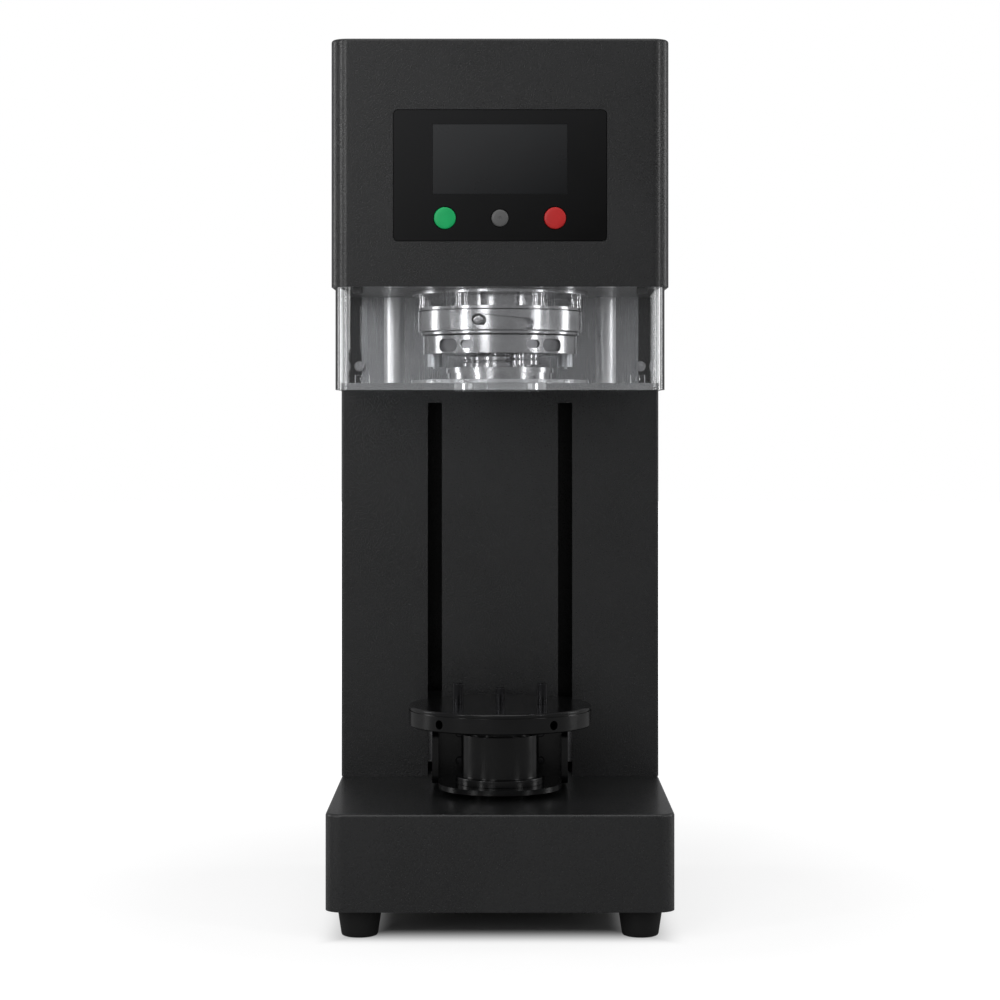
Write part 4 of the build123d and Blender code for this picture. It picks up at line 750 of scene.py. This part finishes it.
# ---- Control panel ----
class CUPSEALER_OT_panel(bpy.types.Operator):
    """Makes the control panel's bezel and screen"""
    bl_idname = "cup_sealer.control_panel"
    bl_label = "Control Panel"

    def execute(self, context):
        rim = BEZEL_RIM
        front = BEZEL_LOW[1]
        back = BEZEL_HIGH[1]
        step = back - 2 * MM
        low = (BEZEL_LOW[0] + rim, front, BEZEL_LOW[2] + rim)
        high = (BEZEL_HIGH[0] - rim, step + 0.2 * MM, BEZEL_HIGH[2] - rim)
        obj = rounded_block("panel_bezel", low, high, 3 * MM, 1)
        rim_low = (BEZEL_LOW[0], step, BEZEL_LOW[2])
        rim_plate = rounded_block("rim_plate", rim_low, BEZEL_HIGH, 3 * MM, 1)
        fuse(obj, rim_plate)
        edge = 6 * MM
        hole_low = (SCREEN_LOW[0] + edge, front - PAST, SCREEN_LOW[2] + edge)
        hole_high = (SCREEN_HIGH[0] - edge, back + PAST, SCREEN_HIGH[2] - edge)
        cut(obj, block("screen_hole", hole_low, hole_high))
        for name in ("green_button", "grey_button", "red_button"):
            b_low, b_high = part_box(name)
            radius = (b_high[0] - b_low[0]) / 2 + 0.4 * MM
            x = (b_low[0] + b_high[0]) / 2
            z = (b_low[2] + b_high[2]) / 2
            cut(obj, bore_y(x, z, radius, front - PAST, back + PAST, 72))
        soften(obj, 0.25 * MM)
        # The bezel's colour is painted from near black to dark grey towards its upper left: a painted
        # sheen.
        film = film_with_painted_sheen(
            "Panel Film", (0.0004, 0.0004, 0.0005), (0.0180, 0.0182, 0.0190), 0.42, low, high)
        finish_piece(obj, "frame", film, "black_plastic", "control_bezel")
        gap = 0.06 * MM
        pane_low = (hole_low[0] + gap, SCREEN_LOW[1], hole_low[2] + gap)
        pane_high = (hole_high[0] - gap, back, hole_high[2] - gap)
        pane = block("screen_glass", pane_low, pane_high)
        soften(pane, 0.12 * MM, 30)
        # The screen glass too carries a painted sheen, lighter towards its upper left.
        glass = film_with_painted_sheen(
            "Screen Glass", (0.0125, 0.0130, 0.0140), (0.0480, 0.0490, 0.0510), 0.30, pane_low, pane_high)
        finish_piece(pane, "frame", glass, "screen", "display_module")
        tray = block("screen_tray", (SCREEN_LOW[0], back, SCREEN_LOW[2]), SCREEN_HIGH)
        soften(tray, 0.8 * MM, 30)
        finish_piece(tray, "frame", black_plastic(), "black_plastic")
        return {"FINISHED"}


class CUPSEALER_OT_buttons(bpy.types.Operator):
    """Turns the three push buttons"""
    bl_idname = "cup_sealer.buttons"
    bl_label = "Push Buttons"

    def execute(self, context):
        finish = context.scene.cup_sealer_finish
        rows = (
            ("green_button", "green_key", finish.green, "green_plastic"),
            ("grey_button", "grey_key", finish.grey, "grey_plastic"),
            ("red_button", "red_key", finish.red, "red_plastic"),
        )
        skirt = 8 * MM
        stem = 3 * MM
        for node, body, colour, slot in rows:
            low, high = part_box(node)
            radius = (high[0] - low[0]) / 2
            length = high[1] - low[1]
            outline = [
                (radius * 0.05, 0.0), (radius * 0.5, -0.04 * MM), (radius * 0.75, -0.13 * MM),
                (radius - 0.75 * MM, -0.3 * MM), (radius - 0.3 * MM, -0.55 * MM),
                (radius - 0.06 * MM, -0.95 * MM), (radius, -1.4 * MM), (radius, -skirt), (stem, -skirt),
                (stem, -length),
            ]
            if node == "grey_button":
                outline[0:1] = [(0.1 * MM, -0.3 * MM), (0.8 * MM, -0.3 * MM), (1.05 * MM, 0.0)]
            cap = turned(node + "_cap", (0, 0), outline, 72)
            lay_along_y(cap, (low[0] + high[0]) / 2, low[1], (low[2] + high[2]) / 2)
            smooth(cap, 45)
            paint = moulded(slot.replace("_", " ").title(), colour, 0.42, 2600.0, 0.05)
            finish_piece(cap, body, paint, slot, node)
        return {"FINISHED"}


# ---- Guard ----
class CUPSEALER_OT_guard(bpy.types.Operator):
    """Forms the clear guard and its turned-in flanges"""
    bl_idname = "cup_sealer.guard"
    bl_label = "Clear Guard"

    def execute(self, context):
        case = context.scene.cup_sealer_case
        low = GUARD_LOW
        high = GUARD_HIGH
        back = high[1]
        obj = block("guard_wrap", low, high)
        bevel_edges(
            obj, lambda place, along: near(place.y, low[1]) and abs(along.z) > 0.05, case.corner_radius, 14)
        delete_faces(obj, lambda place, normal: abs(normal.z) > 0.9 or near(place.y, back))
        flange = 15 * MM
        for side in (-1, 1):
            edit(obj)
            pick(obj, "EDGE", lambda place, along: (
                near(place.y, back) and abs(along.z) > 0.05 and place.x * side > 0))
            bpy.ops.mesh.extrude_edges_move(TRANSFORM_OT_translate={"value": (-side * flange, 0, 0)})
            to_object_mode()
        edit_all(obj)
        bpy.ops.mesh.remove_doubles(threshold=MERGE)
        to_object_mode()
        thicken(obj, case.guard_wall)
        screw_x = 106 * MM
        screw_z = low[2] + 19.5 * MM
        for side in (-1, 1):
            cut(obj, bore_y(side * screw_x, screw_z, 1.9 * MM, back - PAST, back + PAST, 32))
        soften(obj, 0.3 * MM)
        finish_piece(obj, "frame", clear_acrylic(), "clear_acrylic", "guard_shell")
        return {"FINISHED"}


class CUPSEALER_OT_guard_floor(bpy.types.Operator):
    """Cuts the clear guard floor with its raised ring, and the small blocks that fix it"""
    bl_idname = "cup_sealer.guard_floor"
    bl_label = "Guard Floor"

    def execute(self, context):
        sides = context.scene.cup_sealer_seamer.sides
        low = FLOOR_LOW
        ring_top = FLOOR_HIGH[2]
        top = ring_top - 3 * MM
        gap = 0.05 * MM
        plate_high = (FLOOR_HIGH[0] - gap, FLOOR_HIGH[1] - gap, top)
        plate_low = (low[0] + gap, low[1] + gap, low[2])
        obj = block("guard_floor_plate", plate_low, plate_high)
        corner = 9 * MM
        bevel_edges(obj, lambda place, along: (
            near(place.y, plate_low[1]) and near(along.x, 0) and near(along.y, 0)), corner, 10)
        raised = tube("raised_ring", AXIS, 64 * MM, 50 * MM, top - 0.5 * MM, ring_top, sides)
        fuse(obj, raised)
        cut(obj, bore(AXIS[0], AXIS[1], GUIDE_BORE, low[2] - PAST, top + PAST, sides))
        soften(obj, 0.4 * MM)
        finish_piece(obj, "frame", clear_acrylic("Sawn Acrylic", 0.86), "clear_acrylic", "guard_floor")
        front = low[1] + 1.2 * MM
        tall = 5.6 * MM
        hanger_z = HEAD_LOW[2]
        for side, word in ((-1, "left"), (1, "right")):
            x0, x1 = sorted((side * 91 * MM, side * 101 * MM))
            clear = block(f"guard_corner_block_{word}", (x0, front, top), (x1, front + 9 * MM, top + tall))
            cut(clear, bore_y((x0 + x1) / 2, top + tall / 2, 1.3 * MM, front - PAST, front + 6 * MM, 24))
            soften(clear, 0.4 * MM)
            finish_piece(clear, "frame", clear_acrylic(), "clear_acrylic")
            x0, x1 = sorted((side * 95.6 * MM, side * 102.6 * MM))
            hanger = block(
                f"guard_hanger_{word}", (x0, front + 0.3 * MM, hanger_z - 4.6 * MM),
                (x1, front + 10 * MM, hanger_z))
            cut(hanger, bore(
                (x0 + x1) / 2, front + 5 * MM, 1.6 * MM, hanger_z - 6 * MM, hanger_z - 2 * MM, 24))
            soften(hanger, 0.4 * MM)
            finish_piece(hanger, "frame", black_plastic(), "black_plastic")
        return {"FINISHED"}


class CUPSEALER_OT_guide_ring(bpy.types.Operator):
    """Turns the ring that guides the cup into the seamer"""
    bl_idname = "cup_sealer.guide_ring"
    bl_label = "Cup Guide Ring"

    def execute(self, context):
        seamer = context.scene.cup_sealer_seamer
        low = GUIDE_LOW[2]
        high = GUIDE_HIGH[2]
        inner = GUIDE_BORE
        outer = 37.75 * MM
        flange = 39 * MM
        step = high - 3.5 * MM
        outline = [
            (inner, low), (outer, low), (outer, step), (flange, step), (flange, high),
            (inner + 1.2 * MM, high), (inner, high - 1.2 * MM), (inner, low),
        ]
        obj = turned("cup_guide_ring", AXIS, outline, seamer.sides)
        for angle in (-58, -20, 12, 47, 140, 220):
            cut(obj, side_hole(1.5 * MM, outer, 1.5 * MM, (low + step) / 2, angle, 24))
        soften(obj, seamer.edge_break)
        finish_piece(obj, "frame", bright_aluminium(), "bright_aluminium", "can_guide_ring")
        return {"FINISHED"}


class CUPSEALER_OT_backsplash(bpy.types.Operator):
    """Presses two upright flutes into the bright sheet behind the seamer"""
    bl_idname = "cup_sealer.backsplash"
    bl_label = "Fluted Backsplash"

    def execute(self, context):
        low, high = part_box("backsplash")
        thick = 1.2 * MM
        face = high[1] - thick
        rise = 3.4 * MM
        flute = 10 * MM
        obj = block("fluted_backsplash", (low[0], face, low[2]), high)
        flute_x = 80 * MM
        for side in (-1, 1):
            rib = bore(side * flute_x, face - rise + flute, flute, low[2], high[2], 120)
            cut(rib, block(
                "behind", (2 * low[0], high[1] - 0.1 * MM, low[2] - PAST),
                (2 * high[0], high[1] + 2 * flute, high[2] + PAST)))
            fuse(obj, rib)
        smooth(obj, 30)
        finish_piece(obj, "frame", sheet_stainless(), "bright_aluminium", "backsplash")
        # The flutes' curved faces get the near-white copy of the metal: a painted highlight.
        give_faces(obj, flute_painted_highlight(), lambda place, normal: (
            abs(normal.x) > 0.02 and place.y < face - 0.02 * MM))
        return {"FINISHED"}


# ---- Seamer ----
class CUPSEALER_OT_housing(bpy.types.Operator):
    """Turns the bearing housing with its flange and posts, and the guide sleeve under them"""
    bl_idname = "cup_sealer.housing"
    bl_label = "Seamer Housing"

    def execute(self, context):
        seamer = context.scene.cup_sealer_seamer
        low = HOUSING_LOW[2]
        top = HOUSING_HIGH[2]
        deck = HEAD_LOW[2]
        flange = 63.5 * MM
        drum = 33.5 * MM
        seat = 27.5 * MM
        spindle_bore = 16 * MM
        under = deck - 3 * MM
        obj = turned("bearing_housing", AXIS, [
            (seat, low + MM), (seat, top), (drum, top), (drum, deck), (flange, deck), (flange, under),
            (drum, under), (drum, low), (spindle_bore, low), (spindle_bore, low + MM), (seat, low + MM),
        ], seamer.sides)
        soften(obj, seamer.edge_break)
        post = 5 * MM
        circle = 54 * MM
        posts = []
        for index in range(seamer.post_count):
            angle = 2 * math.pi * (index + 0.5) / seamer.post_count
            x = AXIS[0] + circle * math.sin(angle)
            y = AXIS[1] + circle * math.cos(angle)
            neck = [
                (post, low), (post, low + 2.2 * MM), (post - 0.5 * MM, low + 2.6 * MM),
                (post - 0.5 * MM, deck - 5.6 * MM), (post, deck - 5.2 * MM), (post, under),
            ]
            one = turned("post", (x, y), neck, 40)
            smooth(one)
            posts.append(one)
        join_into(obj, *posts)
        finish_piece(obj, "frame", bright_aluminium(), "bright_aluminium", "seamer_housing")
        inner = 49.1 * MM
        outer = 52.95 * MM
        rim = 58.5 * MM
        bottom = SLEEVE_LOW[2]
        high = SLEEVE_HIGH[2]
        seat = bottom + 2 * MM
        step = high - 2.1 * MM
        sleeve = turned("guide_sleeve_turned", AXIS, [
            (inner, seat), (outer, seat), (outer, step), (rim, step), (rim, high), (inner, high),
            (inner, seat)], seamer.sides)
        middle = Vector((0, AXIS[1] - 50 * MM, CAM_LOW[2] + 6 * MM))
        half = Vector((2.6 * MM, 10 * MM, 4.4 * MM))
        first_slot = -15.1
        for index in range(3):
            slot = rounded_block("slot", middle - half, middle + half, 2.59 * MM, 1)
            cut(sleeve, swing(slot, AXIS, first_slot + 120 * index))
        retainer = tube("retainer", AXIS, 57 * MM, inner, bottom, seat, seamer.sides)
        soften(sleeve, seamer.edge_break)
        soften(retainer, seamer.edge_break)
        join_into(sleeve, retainer)
        finish_piece(sleeve, "frame", bright_aluminium(), "bright_aluminium", "guide_sleeve")
        return {"FINISHED"}


class CUPSEALER_OT_chuck(bpy.types.Operator):
    """Turns the seaming chuck"""
    bl_idname = "cup_sealer.chuck"
    bl_label = "Chuck"

    def execute(self, context):
        seamer = context.scene.cup_sealer_seamer
        low = CHUCK_LOW[2]
        high = CHUCK_HIGH[2]
        bore_radius = 8 * MM
        nose = 19.5 * MM
        rim = 21.5 * MM
        step = low + 5 * MM
        obj = turned("seaming_chuck", AXIS, [
            (bore_radius, low), (nose - 1.0 * MM, low), (nose, low + MM), (nose, step), (rim, step),
            (rim, step + 3.4 * MM), (rim - 0.6 * MM, step + 3.8 * MM), (rim - 0.6 * MM, step + 4.6 * MM),
            (rim, step + 5.0 * MM), (rim, high - 0.8 * MM), (rim - 0.8 * MM, high), (bore_radius, high),
            (bore_radius, low)], seamer.sides)
        soften(obj, 0.2 * MM)
        finish_piece(obj, "frame", bright_aluminium(), "bright_aluminium", "chuck")
        return {"FINISHED"}


class CUPSEALER_OT_turret(bpy.types.Operator):
    """Turns the turret with its windows, and breaks the edges of the cam ring and its helical slots"""
    bl_idname = "cup_sealer.turret"
    bl_label = "Turret and Cam Ring"

    def execute(self, context):
        seamer = context.scene.cup_sealer_seamer
        low = TURRET_LOW[2]
        top = low + 12.5 * MM
        hub_top = TURRET_HIGH[2]
        radius = TURRET_HIGH[0]
        inside = radius - 2.5 * MM
        hub = 19 * MM
        spindle = 15 * MM
        obj = turned("turret_turned", AXIS, [
            (spindle, low), (radius, low), (radius, top), (inside, top), (inside, low + 3 * MM),
            (hub, low + 3 * MM), (hub, hub_top), (spindle, hub_top), (spindle, low)], seamer.sides)
        front = AXIS[1] - radius
        # Angle, then half width, half height, drop, depth and corner radius in mm.
        windows = ((42, 8.5, 4.5, 0.7, 2.35, 4.2), (25, 5.0, 3.0, 0.0, 1.9, 2.95))
        for back in (0, 180):
            for angle, half, tall, drop, depth, corner in windows:
                for side in (-1, 1):
                    z = (low + top) / 2 - drop * MM
                    window = rounded_block(
                        "window", (-half * MM, front - PAST, z - tall * MM),
                        (half * MM, front + depth * MM, z + tall * MM), corner * MM, 1, 8)
                    cut(obj, swing(window, AXIS, back + side * angle))
        soften(obj, 0.35 * MM)
        finish_piece(obj, "turret", bright_aluminium(), "bright_aluminium", "turret_body")
        # The windows' inner faces get the darker copy of the metal: painted shade in the pockets.
        give_faces(obj, window_painted_shade(), lambda place, normal: (
            low + 1.2 * MM < place.z < top - 1.2 * MM
            and inside + 0.1 * MM < math.hypot(place.x - AXIS[0], place.y - AXIS[1]) < radius - 0.7 * MM))
        ring = copy_of_node("cam_ring", "cam_ring_turned")
        soften(ring, 0.35 * MM)
        finish_piece(ring, "cam", bright_aluminium(), "bright_aluminium", "cam_ring")
        return {"FINISHED"}


# ---- Lift table ----
class CUPSEALER_OT_table(bpy.types.Operator):
    """Turns the table disc, its top plate and the three locating pins"""
    bl_idname = "cup_sealer.table"
    bl_label = "Lift Table"

    def execute(self, context):
        seamer = context.scene.cup_sealer_seamer
        edge = (PLATE_HIGH[0] - PLATE_LOW[0]) / 2
        plate_low = PLATE_LOW[2]
        plate_high = PLATE_HIGH[2]
        plate = turned("table_plate", AXIS, [
            (CORE, plate_low), (edge, plate_low), (edge, plate_high - 0.9 * MM),
            (edge - 0.9 * MM, plate_high), (CORE, plate_high)], seamer.sides)
        soften(plate, 0.2 * MM, 30)
        finish_piece(plate, "lift_table", black_oxide(), "black_steel", "table_top_plate")
        groove = plate_low - 0.7 * MM
        under = groove - 11.1 * MM
        neck = 22.5 * MM
        bottom = DISC_LOW[2]
        chamfer = 0.8 * MM
        disc = turned("table_rim", AXIS, [
            (CORE, bottom), (neck - chamfer, bottom), (neck, bottom + chamfer), (neck, under),
            (edge - chamfer, under), (edge, under + chamfer), (edge, groove), (edge - MM, groove),
            (edge - MM, plate_low), (CORE, plate_low)], seamer.sides)
        middle = groove - 5.55 * MM
        for angle in (-40.5, 35.0, 139.5, 215.0):
            cut(disc, side_hole(3.25 * MM, edge, 9 * MM, middle, angle, 40))
        soften(disc, 0.25 * MM, 30)
        finish_piece(disc, "lift_table", black_oxide(), "black_steel", "table_disc")
        pins = []
        chamfer = 0.7 * MM
        for x, radius, height in ((-30.4, 3.75, 15.5), (0.0, 3.45, 12.3), (30.4, 3.75, 15.5)):
            top = plate_high + height * MM
            radius *= MM
            pin = turned("pin", (AXIS[0] + x * MM, AXIS[1]), [
                (radius, plate_high), (radius, top - chamfer), (radius - chamfer, top)], 48)
            soften(pin, 0.15 * MM, 30)
            pins.append(pin)
        obj = join_into(*pins)
        obj.name = "table_pins"
        finish_piece(obj, "lift_table", dark_pin_steel(), "polished_steel", "locating_pins")
        spring = copy_of_node("table_spring", "press_spring")
        smooth(spring, 50)
        finish_piece(spring, "lift_carriage", polished_steel(), "polished_steel", "table_spring")
        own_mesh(spring)
        return {"FINISHED"}


class CUPSEALER_OT_hub(bpy.types.Operator):
    """Turns the table's hub and ring, and sets the four screws of the bent tray"""
    bl_idname = "cup_sealer.hub"
    bl_label = "Table Hub"

    def execute(self, context):
        seamer = context.scene.cup_sealer_seamer
        low = HUB_LOW[2]
        high = HUB_HIGH[2]
        ring_radius = 32 * MM
        hub_radius = 28 * MM
        inner = 22.55 * MM
        step = low + 5.4 * MM
        floor = step + 2 * MM
        chamfer = 0.6 * MM
        obj = turned("hub_turned", AXIS, [
            (CORE, low), (ring_radius, low), (ring_radius, step - chamfer), (ring_radius - chamfer, step),
            (hub_radius, step), (hub_radius, high), (inner, high), (inner, floor), (CORE, floor),
        ], seamer.sides)
        soften(obj, seamer.edge_break)
        finish_piece(obj, "lift_carriage", black_oxide(), "black_steel", "table_hub")
        web_front = AXIS[1] + 41.3 * MM
        head = [
            (1.2 * MM, 0.3 * MM), (1.3 * MM, 1.6 * MM), (2.2 * MM, 1.6 * MM), (2.8 * MM, 1.1 * MM),
            (2.9 * MM, 0.0),
        ]
        screws = []
        for x in (-30 * MM, 30 * MM):
            for z in (TRAY_LOW[2] + 17 * MM, TRAY_LOW[2] + 37 * MM):
                screw = turned("screw", (0, 0), head, 32)
                lay_along_y(screw, x, web_front, z)
                smooth(screw)
                screws.append(screw)
        obj = join_into(*screws)
        obj.name = "tray_screws"
        finish_piece(obj, "lift_carriage", dark_pin_steel(), "polished_steel")
        return {"FINISHED"}


# ---- Carried-over nodes ----
class CUPSEALER_OT_finishes(bpy.types.Operator):
    """Gives every node that is carried over from the frame its finish"""
    bl_idname = "cup_sealer.finishes"
    bl_label = "Frame Finishes"

    def execute(self, context):
        makers = {
            "black_powder_coat": powder_coat,
            "rubber": foot_rubber,
            "zinc_steel": zinc_steel,
            "black_steel": black_oxide,
            "polished_steel": polished_steel,
            "bright_aluminium": bright_aluminium,
            **dict.fromkeys(
                ("black_plastic", "screen", "green_plastic", "grey_plastic", "red_plastic"), black_plastic),
            "circuit_green": lambda: moulded("Circuit Board", (0.012, 0.13, 0.045), 0.35),
            "grey_motor_paint": lambda: moulded("Motor Paint", (0.09, 0.09, 0.095), 0.42, 1200.0, 0.2),
            "clear_acrylic": clear_acrylic,
        }
        for part in frame["record"]["subparts"]:
            paint_node(part["node"], makers[part["material_slot"]]())
        paint_node("drive_belt", moulded("Belt Rubber", (0.012, 0.012, 0.012), 0.7, 700.0, 0.3))
        return {"FINISHED"}


# ---- Stage ----
def area_light(name, azimuth, radius, height, wide, tall, radiance, aim=(0.0, -0.05, 0.35)):
    """A softbox at an azimuth from the front, positive to the right, that faces the machine."""
    turn = math.radians(azimuth)
    place = Vector((radius * math.sin(turn), -0.05 - radius * math.cos(turn), height))
    data = bpy.data.lights.new(name, "AREA")
    data.shape = "RECTANGLE"
    data.size = wide
    data.size_y = tall
    data.energy = radiance * math.pi * wide * tall
    light = bpy.data.objects.new(name, data)
    bpy.context.scene.collection.objects.link(light)
    light.location = place
    light.rotation_euler = (Vector(aim) - place).to_track_quat("-Z", "Y").to_euler()
    return light


def stage_white():
    """A matt white floor that glows white in the view and takes soft shadows, with a painted shadow under
    the machine, where the glow is taken away.
    """
    material, tree, shader = start_material("Stage White")
    if tree is None:
        return material
    where = add(tree, "TexCoord")["Object"]
    size = add(tree, "VectorMath", {0: where}, operation="ABSOLUTE")
    past = add(tree, "VectorMath", {0: size["Vector"], 1: (0.095, 0.125, 0.0)}, operation="SUBTRACT")
    split = add(tree, "SeparateXYZ", {"Vector": past["Vector"]})
    # Painted shadow: the glow is taken away inside the machine's footprint and fades back in just past it,
    # so the floor under the base is painted dark.
    clear = add(tree, "MapRange", {
        "Value": maths(tree, "MAXIMUM", split["X"], split["Y"]),
        "From Min": -0.02, "From Max": 0.035, "To Min": 0.0, "To Max": 0.74,
    }, interpolation_type="SMOOTHSTEP")["Result"]
    reach = add(tree, "VectorMath", {0: where}, operation="LENGTH")["Value"]
    glow_with_painted_shadow = maths(tree, "MULTIPLY", clear, ramp(tree, reach, 1.0, 1.7, 0.25, 1.6))
    seen = add(tree, "LightPath")["Is Camera Ray"]
    fill(tree, shader, {
        "Base Color": (0.40, 0.40, 0.40, 1.0), "Roughness": 0.9, "Specular IOR Level": 0.0,
        "Emission Color": (1.0, 1.0, 1.0, 1.0), "Emission Strength": maths(tree, "MULTIPLY", seen, glow_with_painted_shadow),
    })
    return material


class CUPSEALER_OT_stage(bpy.types.Operator):
    """Sets the floor, the softboxes, the surroundings and the camera"""
    bl_idname = "cup_sealer.stage"
    bl_label = "Stage"

    def execute(self, context):
        scene = context.scene
        floor = turned("floor", (0, 0), [(9.0, -0.05), (9.0, -0.0002)], 96)
        floor.data.materials.append(stage_white())
        area_light("front_left_box", -22, 2.1, 1.08, 0.45, 1.3, 3.6)
        area_light("left_box", -50, 2.1, 0.95, 0.22, 1.4, 7.5)
        area_light("front_right_box", 53, 2.1, 1.0, 0.26, 1.3, 5.4)
        area_light("left_strip", -103, 1.8, 0.6, 0.40, 1.2, 3.0)
        area_light("right_strip", 103, 1.8, 0.6, 0.40, 1.2, 3.0)
        area_light("top_box", 0, 0.5, 2.2, 1.8, 1.8, 1.2)
        world = bpy.data.worlds.new("Surroundings")
        scene.world = world
        world.use_nodes = True
        tree = world.node_tree
        backdrop = tree.nodes["Background"]
        fill(tree, backdrop, {"Color": (0.26, 0.26, 0.263, 1.0)})
        white = add(tree, "Background", {"Color": (1.0, 1.0, 1.0, 1.0), "Strength": 1.0})
        path = add(tree, "LightPath")
        bounced = maths(tree, "ADD", path["Glossy Depth"], path["Diffuse Depth"])
        direct = maths(tree, "LESS_THAN", bounced, 0.5)
        through = maths(tree, "MULTIPLY", direct, path["Is Transmission Ray"])
        seen = maths(tree, "MAXIMUM", path["Is Camera Ray"], through)
        mix = add(tree, "MixShader", {
            "Fac": seen, 1: backdrop.outputs["Background"], 2: white["Background"]})
        fill(tree, tree.nodes["World Output"], {"Surface": mix["Shader"]})
        data = bpy.data.cameras.new("camera")
        data.lens = 89.6
        data.sensor_width = 36.0
        data.shift_y = -0.0807
        data.clip_end = 50.0
        camera = bpy.data.objects.new("camera", data)
        scene.collection.objects.link(camera)
        camera.location = (0.0, -1.85, 0.357)
        camera.rotation_euler = (math.radians(90), 0.0, 0.0)
        scene.camera = camera
        scene.view_settings.view_transform = "Standard"
        return {"FINISHED"}


OPERATORS = (
    CUPSEALER_OT_finishes,
    CUPSEALER_OT_base,
    CUPSEALER_OT_feet,
    CUPSEALER_OT_head,
    CUPSEALER_OT_panel,
    CUPSEALER_OT_buttons,
    CUPSEALER_OT_guard,
    CUPSEALER_OT_guard_floor,
    CUPSEALER_OT_guide_ring,
    CUPSEALER_OT_backsplash,
    CUPSEALER_OT_housing,
    CUPSEALER_OT_chuck,
    CUPSEALER_OT_turret,
    CUPSEALER_OT_table,
    CUPSEALER_OT_hub,
    CUPSEALER_OT_stage,
)


class CUPSEALER_PT_sidebar(bpy.types.Panel):
    """Lists the machine's pieces and settings"""
    bl_label = "Cup Sealer"
    bl_idname = "CUPSEALER_PT_sidebar"
    bl_space_type = "VIEW_3D"
    bl_region_type = "UI"
    bl_category = "Cup Sealer"

    def draw(self, context):
        layout = self.layout
        scene = context.scene
        for settings in (scene.cup_sealer_case, scene.cup_sealer_seamer, scene.cup_sealer_finish):
            box = layout.box()
            for name in settings.__annotations__:
                box.prop(settings, name)
        for operator in OPERATORS:
            layout.operator(operator.bl_idname)


SETTINGS = (CupSealerCase, CupSealerSeamer, CupSealerFinish)
CLASSES = (*SETTINGS, *OPERATORS, CUPSEALER_PT_sidebar)


def register():
    for kind in CLASSES:
        bpy.utils.register_class(kind)
    bpy.types.Scene.cup_sealer_case = PointerProperty(type=CupSealerCase)
    bpy.types.Scene.cup_sealer_seamer = PointerProperty(type=CupSealerSeamer)
    bpy.types.Scene.cup_sealer_finish = PointerProperty(type=CupSealerFinish)


def unregister():
    del bpy.types.Scene.cup_sealer_finish
    del bpy.types.Scene.cup_sealer_seamer
    del bpy.types.Scene.cup_sealer_case
    for kind in reversed(CLASSES):
        bpy.utils.unregister_class(kind)


def main():
    register()
    for operator in OPERATORS:
        getattr(bpy.ops.cup_sealer, operator.bl_idname.split(".")[1])()


if __name__ == "__main__":
    main()
